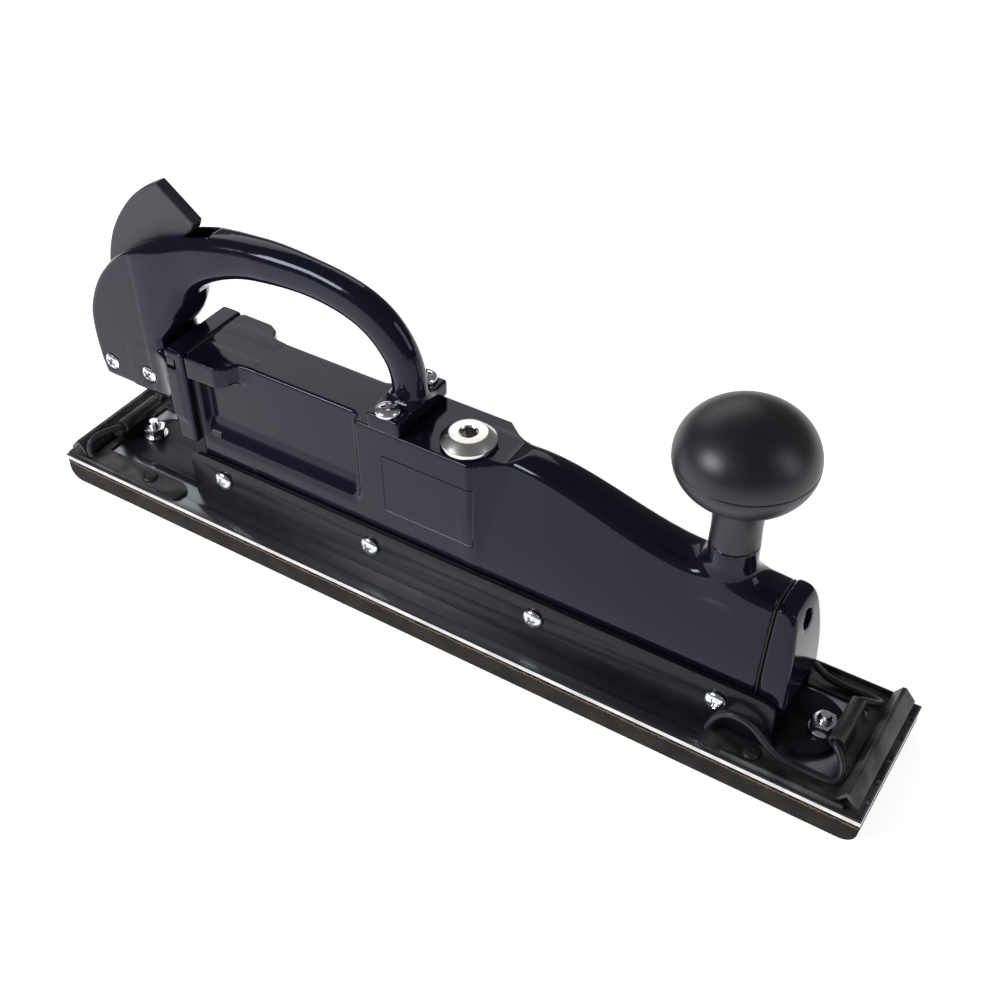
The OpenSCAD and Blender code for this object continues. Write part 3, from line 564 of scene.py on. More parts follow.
class NodeBench:
    """A small helper that wires shader or geometry nodes together."""

    def __init__(self, tree: bpy.types.NodeTree) -> None:
        """Keeps the tree that nodes are added to."""
        self.tree = tree

    def add(self, kind: str, **settings: object) -> bpy.types.Node:
        """Adds a node and sets its plain properties."""
        node = self.tree.nodes.new(kind)
        for key, value in settings.items():
            setattr(node, key, value)
        return node

    def link(self, source: bpy.types.NodeSocket, target: bpy.types.NodeSocket) -> None:
        """Joins an output to an input."""
        self.tree.links.new(source, target)

    def feed(self, node: bpy.types.Node, **values: object) -> bpy.types.Node:
        """Sets or joins inputs by name, with _ for a space in the name."""
        for key, value in values.items():
            socket = node.inputs[key.replace("_", " ")]
            if isinstance(value, bpy.types.NodeSocket):
                self.link(value, socket)
            else:
                socket.default_value = value
        return node


def shader_group(
    name: str, inputs: dict[str, float], outputs: Sequence[str]
) -> tuple[bpy.types.NodeTree, NodeBench]:
    """Starts a shader node group whose inputs and outputs are plain values."""
    tree = bpy.data.node_groups.new(name, "ShaderNodeTree")
    for key, value in inputs.items():
        socket = tree.interface.new_socket(key, in_out="INPUT", socket_type="NodeSocketFloat")
        socket.default_value = value
    for key in outputs:
        tree.interface.new_socket(key, in_out="OUTPUT", socket_type="NodeSocketFloat")
    return tree, NodeBench(tree)


class SurfaceEffects:
    """The effects that several finishes share, each one a node group that is built once."""

    def __init__(self) -> None:
        """Builds the groups."""
        self.grain = self._grain()
        self.wear = self._wear()
        self.scratches = self._scratches()

    def _grain(self) -> bpy.types.NodeTree:
        """Fine bumps over broad soft waves, as in paint, rubber or cast metal."""
        tree, bench = shader_group(
            "surface_grain",
            {"Fine Scale": 900.0, "Broad Scale": 40.0, "Broad Share": 0.5},
            ("Height", "Mottle"),
        )
        source = bench.add("NodeGroupInput")
        place = bench.add("ShaderNodeTexCoord")
        fine = bench.add("ShaderNodeTexNoise")
        bench.feed(fine, Vector=place.outputs["Object"], Scale=source.outputs["Fine Scale"], Detail=3.0)
        broad = bench.add("ShaderNodeTexNoise")
        bench.feed(broad, Vector=place.outputs["Object"], Scale=source.outputs["Broad Scale"], Detail=4.0)
        mix = bench.add("ShaderNodeMix", data_type="FLOAT")
        bench.feed(
            mix,
            Factor=source.outputs["Broad Share"],
            A=fine.outputs["Fac"],
            B=broad.outputs["Fac"],
        )
        target = bench.add("NodeGroupOutput")
        bench.link(mix.outputs["Result"], target.inputs["Height"])
        bench.link(broad.outputs["Fac"], target.inputs["Mottle"])
        return tree

    def _wear(self) -> bpy.types.NodeTree:
        """A mask that is bright on outer edges, broken up by noise."""
        tree, bench = shader_group("edge_wear", {"Start": 0.53, "End": 0.62, "Breakup": 90.0}, ("Mask",))
        source = bench.add("NodeGroupInput")
        shape = bench.add("ShaderNodeNewGeometry")
        place = bench.add("ShaderNodeTexCoord")
        noise = bench.add("ShaderNodeTexNoise")
        bench.feed(noise, Vector=place.outputs["Object"], Scale=source.outputs["Breakup"], Detail=5.0)
        band = bench.add("ShaderNodeMapRange")
        bench.feed(band, Value=shape.outputs["Pointiness"])
        bench.link(source.outputs["Start"], band.inputs["From Min"])
        bench.link(source.outputs["End"], band.inputs["From Max"])
        rough = bench.add("ShaderNodeMapRange")
        bench.feed(rough, Value=noise.outputs["Fac"], From_Min=0.4, From_Max=0.62)
        both = bench.add("ShaderNodeMath", operation="MULTIPLY")
        bench.link(band.outputs["Result"], both.inputs[0])
        bench.link(rough.outputs["Result"], both.inputs[1])
        target = bench.add("NodeGroupOutput")
        bench.link(both.outputs[0], target.inputs["Mask"])
        return tree

    def _scratches(self) -> bpy.types.NodeTree:
        """Long fine streaks along +X, for rolled sheet and plated parts."""
        tree, bench = shader_group("long_scratches", {"Density": 300.0, "Stretch": 0.02}, ("Height",))
        source = bench.add("NodeGroupInput")
        place = bench.add("ShaderNodeTexCoord")
        squeeze = bench.add("ShaderNodeCombineXYZ")
        bench.feed(squeeze, Y=1.0, Z=1.0)
        bench.link(source.outputs["Stretch"], squeeze.inputs["X"])
        scaled = bench.add("ShaderNodeVectorMath", operation="MULTIPLY")
        bench.link(place.outputs["Object"], scaled.inputs[0])
        bench.link(squeeze.outputs[0], scaled.inputs[1])
        noise = bench.add("ShaderNodeTexNoise")
        bench.feed(noise, Vector=scaled.outputs[0], Scale=source.outputs["Density"], Detail=6.0,
            Roughness=0.7)
        target = bench.add("NodeGroupOutput")
        bench.link(noise.outputs["Fac"], target.inputs["Height"])
        return tree


@dataclass(frozen=True)
class Finish:
    """How one kind of surface looks.

    Colours are linear. Grain scales are per metre, and depths are in metres.
    """

    name: str
    colour: Point3
    second: Point3
    roughness: float
    rough_spread: float = 0.1
    metallic: float = 0.0
    coat: float = 0.0
    coat_roughness: float = 0.05
    specular: float = 0.5
    fine_scale: float = 900.0
    broad_scale: float = 40.0
    broad_share: float = 0.5
    depth: float = 0.00002
    wear: float = 0.0
    wear_colour: Point3 = (0.4, 0.4, 0.4)
    streaks: float = 0.0
    streak_density: float = 300.0
    tint: Point3 = (1.0, 1.0, 1.0)
    bands: tuple[tuple[float, float, Point3], ...] = ()
    panel: tuple[Point2, Point2] | None = None

    def build(self, effects: SurfaceEffects) -> bpy.types.Material:
        """Makes the material.

        Args:
            effects: The shared node groups.

        Returns:
            The material.
        """
        material = bpy.data.materials.new(self.name)
        material.use_nodes = True
        bench = NodeBench(material.node_tree)
        shader = material.node_tree.nodes["Principled BSDF"]
        grain = bench.add("ShaderNodeGroup", node_tree=effects.grain)
        bench.feed(
            grain,
            Fine_Scale=self.fine_scale,
            Broad_Scale=self.broad_scale,
            Broad_Share=self.broad_share,
        )
        tone = self._mix(bench, self.colour, self.second, grain.outputs["Mottle"], 0.35, 0.65)
        height = grain.outputs["Height"]
        if self.streaks > 0:
            streak = bench.add("ShaderNodeGroup", node_tree=effects.scratches)
            bench.feed(streak, Density=self.streak_density)
            blend = bench.add("ShaderNodeMix", data_type="FLOAT")
            bench.feed(blend, Factor=self.streaks, A=height, B=streak.outputs["Height"])
            height = blend.outputs["Result"]
        for low, high, colour in self.bands:
            tone = self._band(bench, tone, grain.outputs["Height"], low * MM, high * MM, colour)
        if self.wear > 0:
            worn = bench.add("ShaderNodeGroup", node_tree=effects.wear)
            strength = bench.add("ShaderNodeMath", operation="MULTIPLY")
            bench.link(worn.outputs["Mask"], strength.inputs[0])
            strength.inputs[1].default_value = self.wear
            edge = bench.add("ShaderNodeMix", data_type="RGBA")
            bench.link(strength.outputs[0], edge.inputs[0])
            bench.link(tone, edge.inputs[6])
            edge.inputs[7].default_value = (*self.wear_colour, 1)
            tone = edge.outputs[2]
        bench.link(tone, shader.inputs["Base Color"])
        rough = bench.add("ShaderNodeMapRange")
        bench.feed(
            rough,
            Value=height,
            From_Min=0.3,
            From_Max=0.7,
            To_Min=max(self.roughness - self.rough_spread, 0.02),
            To_Max=min(self.roughness + self.rough_spread, 1.0),
        )
        bench.link(rough.outputs["Result"], shader.inputs["Roughness"])
        bump = bench.add("ShaderNodeBump")
        bench.feed(bump, Height=height, Distance=self.depth, Strength=1.0)
        normal = bump.outputs["Normal"]
        if self.panel:
            normal = self._panel(bench, normal)
        bench.link(normal, shader.inputs["Normal"])
        shader.inputs["Metallic"].default_value = self.metallic
        shader.inputs["Coat Weight"].default_value = self.coat
        shader.inputs["Coat Roughness"].default_value = self.coat_roughness
        shader.inputs["Specular IOR Level"].default_value = self.specular
        shader.inputs["Specular Tint"].default_value = (*self.tint, 1)
        return material

    def _panel(self, bench: NodeBench, normal: bpy.types.NodeSocket) -> bpy.types.NodeSocket:
        """Sinks a blank label panel a little, between two X and Z corners in millimetres."""
        place = bench.add("ShaderNodeTexCoord")
        split = bench.add("ShaderNodeSeparateXYZ")
        bench.link(place.outputs["Object"], split.inputs[0])
        past = []
        for axis, low, high in zip("XZ", *self.panel, strict=True):
            shift = bench.add("ShaderNodeMath", operation="SUBTRACT")
            bench.link(split.outputs[axis], shift.inputs[0])
            shift.inputs[1].default_value = (low + high) / 2 * MM
            size = bench.add("ShaderNodeMath", operation="ABSOLUTE")
            bench.link(shift.outputs[0], size.inputs[0])
            over = bench.add("ShaderNodeMath", operation="SUBTRACT")
            bench.link(size.outputs[0], over.inputs[0])
            over.inputs[1].default_value = (high - low) / 2 * MM
            past.append(over.outputs[0])
        far = bench.add("ShaderNodeMath", operation="MAXIMUM")
        bench.link(past[0], far.inputs[0])
        bench.link(past[1], far.inputs[1])
        edge = bench.add("ShaderNodeMapRange", interpolation_type="SMOOTHSTEP")
        bench.feed(edge, Value=far.outputs[0], From_Min=-0.0004, From_Max=0.0004)
        step = bench.add("ShaderNodeBump")
        bench.feed(step, Height=edge.outputs["Result"], Distance=0.0005, Strength=1.0, Normal=normal)
        return step.outputs["Normal"]

    @staticmethod
    def _band(
        bench: NodeBench, tone: bpy.types.NodeSocket, noise: bpy.types.NodeSocket, low: float, high: float,
        colour: Point3
    ) -> bpy.types.NodeSocket:
        """Lays a ragged level band of another colour round a piece, between two heights in metres."""
        place = bench.add("ShaderNodeTexCoord")
        split = bench.add("ShaderNodeSeparateXYZ")
        bench.link(place.outputs["Object"], split.inputs[0])
        sway = bench.add("ShaderNodeMapRange")
        bench.feed(sway, Value=noise, From_Min=0.3, From_Max=0.7, To_Min=-0.0007, To_Max=0.0007)
        height = bench.add("ShaderNodeMath", operation="ADD")
        bench.link(split.outputs["Z"], height.inputs[0])
        bench.link(sway.outputs["Result"], height.inputs[1])
        near = bench.add("ShaderNodeMath", operation="COMPARE")
        bench.link(height.outputs[0], near.inputs[0])
        near.inputs[1].default_value = (low + high) / 2
        near.inputs[2].default_value = (high - low) / 2
        mix = bench.add("ShaderNodeMix", data_type="RGBA")
        bench.link(near.outputs[0], mix.inputs[0])
        bench.link(tone, mix.inputs[6])
        mix.inputs[7].default_value = (*colour, 1)
        return mix.outputs[2]

    @staticmethod
    def _mix(
        bench: NodeBench, a: Point3, b: Point3, mask: bpy.types.NodeSocket, low: float, high: float
    ) -> bpy.types.NodeSocket:
        """Mixes two colours by a mask that is stretched between two values."""
        spread = bench.add("ShaderNodeMapRange")
        bench.feed(spread, Value=mask, From_Min=low, From_Max=high)
        mix = bench.add("ShaderNodeMix", data_type="RGBA")
        bench.link(spread.outputs["Result"], mix.inputs[0])
        mix.inputs[6].default_value = (*a, 1)
        mix.inputs[7].default_value = (*b, 1)
        return mix.outputs[2]


class Coating(Enum):
    """The finishes of this tool."""

    ENAMEL = Finish(
        "black_enamel", (0.0045, 0.0048, 0.0115), (0.0058, 0.006, 0.0135), 0.11, 0.02, coat=0.06,
        coat_roughness=0.04, fine_scale=520.0, broad_scale=60.0, broad_share=0.8, depth=0.00003,
        tint=(0.8, 0.81, 1.0), wear=0.1, wear_colour=(0.04, 0.04, 0.05), specular=0.26,
        panel=((-22.5, 54.5), (24.0, 86.0)),
    )
    SHEET_BLACK = Finish(
        "black_sheet_paint", (0.0065, 0.0065, 0.01), (0.009, 0.009, 0.013), 0.3, 0.04, coat=0.03,
        coat_roughness=0.1, fine_scale=700.0, broad_scale=90.0, broad_share=0.6, depth=0.00003,
        tint=(0.88, 0.88, 1.0), wear=0.1, wear_colour=(0.06, 0.06, 0.06), specular=0.22,
    )
    LEVER = Finish(
        "lever_black", (0.014, 0.0135, 0.02), (0.02, 0.0195, 0.028), 0.42, 0.05, fine_scale=1800.0,
        broad_scale=120.0, broad_share=0.3, depth=0.00004, tint=(0.88, 0.88, 1.0), wear=0.2,
        wear_colour=(0.09, 0.09, 0.09),
    )
    KNOB = Finish(
        "knob_black", (0.009, 0.0088, 0.0115), (0.013, 0.0128, 0.0155), 0.37, 0.03, fine_scale=2600.0,
        broad_scale=90.0, broad_share=0.25, depth=0.00003, tint=(0.92, 0.92, 1.0),
    )
    ZINC = Finish(
        "bright_zinc", (0.8, 0.81, 0.84), (0.68, 0.69, 0.73), 0.22, 0.08, metallic=1.0,
        fine_scale=1500.0, broad_scale=350.0, depth=0.00002, wear=0.3, wear_colour=(0.92, 0.92, 0.93),
    )
    NICKEL = Finish(
        "nickel_plate", (0.8, 0.78, 0.75), (0.72, 0.7, 0.66), 0.24, 0.06, metallic=1.0,
        fine_scale=2400.0, broad_scale=260.0, depth=0.00001, wear=0.2, wear_colour=(0.92, 0.9, 0.87),
    )
    PLATE = Finish(
        "bare_plate", (0.31, 0.325, 0.35), (0.28, 0.293, 0.316), 0.33, 0.03, metallic=1.0,
        fine_scale=1200.0, broad_scale=24.0, broad_share=0.25, depth=0.00001, streaks=0.5,
        streak_density=900.0,
    )
    # The plate's sheared edge: bare steel, painted much brighter than the plate as a highlight where the cut
    # edge catches the light.
    EDGE_AND_HIGHLIGHT = Finish(
        "sheared_edge_and_painted_highlight", (0.86, 0.86, 0.86), (0.66, 0.66, 0.66), 0.45, 0.1, metallic=0.7,
        fine_scale=900.0, broad_scale=160.0, depth=0.00005,
    )
    GROUND = Finish(
        "ground_steel", (0.52, 0.52, 0.54), (0.42, 0.42, 0.44), 0.26, 0.08, metallic=1.0,
        fine_scale=1800.0, broad_scale=200.0, depth=0.00002, streaks=0.7, streak_density=1400.0,
    )
    OXIDE = Finish(
        "black_oxide_steel", (0.013, 0.0125, 0.015), (0.02, 0.019, 0.021), 0.42, 0.05, specular=0.45,
        fine_scale=900.0, broad_scale=140.0, broad_share=0.5, depth=0.00003, wear=0.5,
        wear_colour=(0.16, 0.15, 0.14), tint=(0.9, 0.9, 1.0),
    )
    PAD = Finish(
        "pad_rubber", (0.014, 0.0125, 0.0115), (0.03, 0.026, 0.023), 0.86, 0.08, fine_scale=620.0,
        broad_scale=80.0, broad_share=0.4, depth=0.00035, specular=0.2,
        # The first band, a darker strip at the pad's top just under the plate, is painted shade where the
        # plate overhangs the pad, partly dark glue; the second is the tan glue line.
        bands=((11.3, 12.9, (0.008, 0.008, 0.009)), (10.3, 11.2, (0.15, 0.1, 0.062))),
    )
    SEAL = Finish(
        "seal_rubber", (0.008, 0.008, 0.008), (0.014, 0.014, 0.014), 0.5, 0.1, fine_scale=1500.0,
        depth=0.00004,
    )
    GASKET = Finish(
        "gasket_fibre", (0.012, 0.011, 0.01), (0.02, 0.018, 0.016), 0.85, 0.1, fine_scale=2500.0,
        depth=0.0001,
    )
    FELT = Finish(
        "silencer_felt", (0.26, 0.24, 0.2), (0.16, 0.15, 0.12), 0.95, 0.05, fine_scale=2200.0,
        depth=0.0003,
    )
    GUIDE = Finish(
        "guide_plastic", (0.5, 0.4, 0.26), (0.42, 0.33, 0.2), 0.5, 0.1, fine_scale=900.0, depth=0.00005
    )
    BRONZE = Finish(
        "sintered_bronze", (0.42, 0.27, 0.13), (0.32, 0.2, 0.09), 0.42, 0.1, metallic=1.0,
        fine_scale=3200.0, depth=0.00006,
    )
    BRASS = Finish(
        "turned_brass", (0.62, 0.45, 0.2), (0.52, 0.37, 0.16), 0.28, 0.1, metallic=1.0,
        fine_scale=2000.0, depth=0.00003, streaks=0.4,
    )
    ALUMINIUM = Finish(
        "machined_aluminium", (0.56, 0.57, 0.59), (0.48, 0.49, 0.5), 0.32, 0.1, metallic=1.0,
        fine_scale=1800.0, depth=0.00003, streaks=0.5, streak_density=1200.0,
    )


class Workshop:
    """Gives pieces their finish and their place in the frame, and says so in the log."""

    def __init__(self) -> None:
        """Builds the shared effects and an empty shelf of materials."""
        self.effects = SurfaceEffects()
        self.shelf: dict[Coating, bpy.types.Material] = {}

    def material(self, coating: Coating) -> bpy.types.Material:
        """Returns the material of a coating, built on first use."""
        if coating not in self.shelf:
            self.shelf[coating] = coating.value.build(self.effects)
        return self.shelf[coating]

    def dress(self, piece: bpy.types.Object, coating: Coating) -> bpy.types.Object:
        """Gives a piece one finish all over."""
        piece.data.materials.clear()
        piece.data.materials.append(self.material(coating))
        return piece

    def deliver(
        self, piece: bpy.types.Object, coating: Coating, body: str, slot: str, *nodes: str
    ) -> bpy.types.Object:
        """Dresses a new piece, ties it to its body and hides the frame nodes that it stands for.

        Args:
            piece: The finished piece.
            coating: Its finish.
            body: The frame body that it moves with.
            slot: The record's material slot; not used.
            nodes: The frame nodes that it stands for.

        Returns:
            The piece.
        """
        self.dress(piece, coating)
        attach(piece, body)
        if nodes:
            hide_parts(*nodes)
        LOG.info("%s: %d faces, rides on %s", piece.name, len(piece.data.polygons), body)
        return piece

    def keep(self, node: str, coating: Coating) -> None:
        """Leaves a frame node as it is, with its own finish."""
        self.dress(frame["nodes"][node], coating)
        LOG.info("%s: kept from the frame", node)


# ---------------------------------------------------------------- geometry node trees


def geometry_tree(name: str, inputs: dict[str, tuple[str, object]]) -> tuple[bpy.types.NodeTree, NodeBench]:
    """Starts a geometry node tree with named inputs.

    Args:
        name: The tree's name.
        inputs: Each input's socket type and its default value, or None.

    Returns:
        The tree and a bench for it.
    """
    tree = bpy.data.node_groups.new(name, "GeometryNodeTree")
    tree.interface.new_socket("Geometry", in_out="INPUT", socket_type="NodeSocketGeometry")
    for key, (kind, value) in inputs.items():
        socket = tree.interface.new_socket(key, in_out="INPUT", socket_type=kind)
        if value is not None:
            socket.default_value = value
    tree.interface.new_socket("Geometry", in_out="OUTPUT", socket_type="NodeSocketGeometry")
    return tree, NodeBench(tree)


def run_tree(host: bpy.types.Object, tree: bpy.types.NodeTree, **values: object) -> bpy.types.Object:
    """Runs a geometry node tree on an object and keeps the result as a plain mesh.

    Args:
        host: The object that carries the starting points.
        tree: The tree.
        values: The tree's inputs by name, with _ for a space.

    Returns:
        The same object with the finished mesh.
    """
    modifier = host.modifiers.new("made", "NODES")
    modifier.node_group = tree
    names = {
        item.name: item.identifier
        for item in tree.interface.items_tree
        if item.item_type == "SOCKET" and item.in_out == "INPUT"
    }
    for key, value in values.items():
        modifier[names[key.replace("_", " ")]] = value
    result = baked(host)
    host.modifiers.clear()
    host.data = result
    return host


def points_object(name: str, spots: Sequence[Point3], aims: Sequence[Point3]) -> bpy.types.Object:
    """Makes an object of loose points, each with the direction that it faces.

    Args:
        name: The object's name.
        spots: The points, in millimetres.
        aims: The direction of each point.

    Returns:
        The object.
    """
    mesh = bpy.data.meshes.new(name)
    mesh.from_pydata([tuple(c * MM for c in s) for s in spots], [], [])
    layer = mesh.attributes.new("aim", "FLOAT_VECTOR", "POINT")
    for i, aim in enumerate(aims):
        layer.data[i].vector = aim
    return placed(name, mesh)


def path_object(name: str, paths: Sequence[Array]) -> bpy.types.Object:
    """Makes an object of open polylines, given in millimetres."""
    verts, edges = [], []
    for path in paths:
        first = len(verts)
        verts += [tuple(float(c) * MM for c in spot) for spot in path]
        edges += [(first + i, first + i + 1) for i in range(len(path) - 1)]
    mesh = bpy.data.meshes.new(name)
    mesh.from_pydata(verts, edges, [])
    return placed(name, mesh)


class TreeSet:
    """The geometry node trees of this tool."""

    def __init__(self) -> None:
        """Builds the trees."""
        self.fasteners = self._fasteners()
        self.wire = self._wire()
        self.coil = self._coil()

    def _fasteners(self) -> bpy.types.NodeTree:
        """Sets one fastener on every point, facing its aim, each turned by a chance amount."""
        tree, bench = geometry_tree(
            "fasteners_on_points",
            {
                "Fastener": ("NodeSocketObject", None),
                "Finish": ("NodeSocketMaterial", None),
                "Turn": ("NodeSocketFloat", 0.6),
                "Seed": ("NodeSocketInt", 4),
            },
        )
        source = bench.add("NodeGroupInput")
        part = bench.add("GeometryNodeObjectInfo")
        bench.link(source.outputs["Fastener"], part.inputs["Object"])
        aim = bench.add("GeometryNodeInputNamedAttribute", data_type="FLOAT_VECTOR")
        aim.inputs["Name"].default_value = "aim"
        face = bench.add("FunctionNodeAlignRotationToVector", axis="Z")
        bench.link(aim.outputs["Attribute"], face.inputs["Vector"])
        chance = bench.add("FunctionNodeRandomValue", data_type="FLOAT")
        back = bench.add("ShaderNodeMath", operation="MULTIPLY")
        back.inputs[1].default_value = -1.0
        bench.link(source.outputs["Turn"], back.inputs[0])
        bench.link(back.outputs[0], chance.inputs[2])
        bench.link(source.outputs["Turn"], chance.inputs[3])
        bench.link(source.outputs["Seed"], chance.inputs["Seed"])
        spin = bench.add("FunctionNodeAxisAngleToRotation")
        spin.inputs["Axis"].default_value = (0, 0, 1)
        bench.link(chance.outputs[1], spin.inputs["Angle"])
        turn = bench.add("FunctionNodeRotateRotation", rotation_space="LOCAL")
        bench.link(face.outputs["Rotation"], turn.inputs["Rotation"])
        bench.link(spin.outputs["Rotation"], turn.inputs["Rotate By"])
        put = bench.add("GeometryNodeInstanceOnPoints")
        bench.link(source.outputs["Geometry"], put.inputs["Points"])
        bench.link(part.outputs["Geometry"], put.inputs["Instance"])
        bench.link(turn.outputs["Rotation"], put.inputs["Rotation"])
        self._close(bench, source, put.outputs["Instances"])
        return tree

    def _wire(self) -> bpy.types.NodeTree:
        """Draws a round wire along every path."""
        tree, bench = geometry_tree(
            "wire_on_path",
            {
                "Radius": ("NodeSocketFloat", 0.0016),
                "Sides": ("NodeSocketInt", 20),
                "Stretch": ("NodeSocketFloat", 0.0009),
                "Finish": ("NodeSocketMaterial", None),
            },
        )
        source = bench.add("NodeGroupInput")
        curve = bench.add("GeometryNodeMeshToCurve")
        bench.link(source.outputs["Geometry"], curve.inputs["Mesh"])
        even = bench.add("GeometryNodeResampleCurve")
        even.mode = "LENGTH"
        bench.link(curve.outputs["Curve"], even.inputs["Curve"])
        bench.link(source.outputs["Stretch"], even.inputs["Length"])
        self._sweep(bench, source, even.outputs["Curve"])
        return tree

    def _coil(self) -> bpy.types.NodeTree:
        """Winds a spring of round wire upwards from each input point's height."""
        tree, bench = geometry_tree(
            "coil_spring",
            {
                "Radius": ("NodeSocketFloat", 0.0005),
                "Sides": ("NodeSocketInt", 10),
                "Coil Radius": ("NodeSocketFloat", 0.0042),
                "Turns": ("NodeSocketFloat", 5.0),
                "Height": ("NodeSocketFloat", 0.006),
                "Finish": ("NodeSocketMaterial", None),
            },
        )
        source = bench.add("NodeGroupInput")
        spiral = bench.add("GeometryNodeCurveSpiral")
        spiral.inputs["Resolution"].default_value = 32
        bench.link(source.outputs["Turns"], spiral.inputs["Rotations"])
        bench.link(source.outputs["Coil Radius"], spiral.inputs["Start Radius"])
        bench.link(source.outputs["Coil Radius"], spiral.inputs["End Radius"])
        bench.link(source.outputs["Height"], spiral.inputs["Height"])
        put = bench.add("GeometryNodeInstanceOnPoints")
        bench.link(source.outputs["Geometry"], put.inputs["Points"])
        bench.link(spiral.outputs["Curve"], put.inputs["Instance"])
        real = bench.add("GeometryNodeRealizeInstances")
        bench.link(put.outputs["Instances"], real.inputs["Geometry"])
        self._sweep(bench, source, real.outputs["Geometry"])
        return tree

    def _sweep(self, bench: NodeBench, source: bpy.types.Node, curve: bpy.types.NodeSocket) -> None:
        """Gives a curve a round section and ends the tree."""
        ring = bench.add("GeometryNodeCurvePrimitiveCircle", mode="RADIUS")
        bench.link(source.outputs["Radius"], ring.inputs["Radius"])
        bench.link(source.outputs["Sides"], ring.inputs["Resolution"])
        body = bench.add("GeometryNodeCurveToMesh")
        bench.link(curve, body.inputs["Curve"])
        bench.link(ring.outputs["Curve"], body.inputs["Profile Curve"])
        body.inputs["Fill Caps"].default_value = True
        smooth = bench.add("GeometryNodeSetShadeSmooth")
        bench.link(body.outputs["Mesh"], smooth.inputs["Geometry"])
        self._close(bench, source, smooth.outputs["Geometry"])

    @staticmethod
    def _close(bench: NodeBench, source: bpy.types.Node, result: bpy.types.NodeSocket) -> None:
        """Realizes the instances, sets the material and ends the tree."""
        real = bench.add("GeometryNodeRealizeInstances")
        bench.link(result, real.inputs["Geometry"])
        finish = bench.add("GeometryNodeSetMaterial")
        bench.link(real.outputs["Geometry"], finish.inputs["Geometry"])
        bench.link(source.outputs["Finish"], finish.inputs["Material"])
        target = bench.add("NodeGroupOutput")
        bench.link(finish.outputs["Geometry"], target.inputs["Geometry"])


# ---------------------------------------------------------------- castings


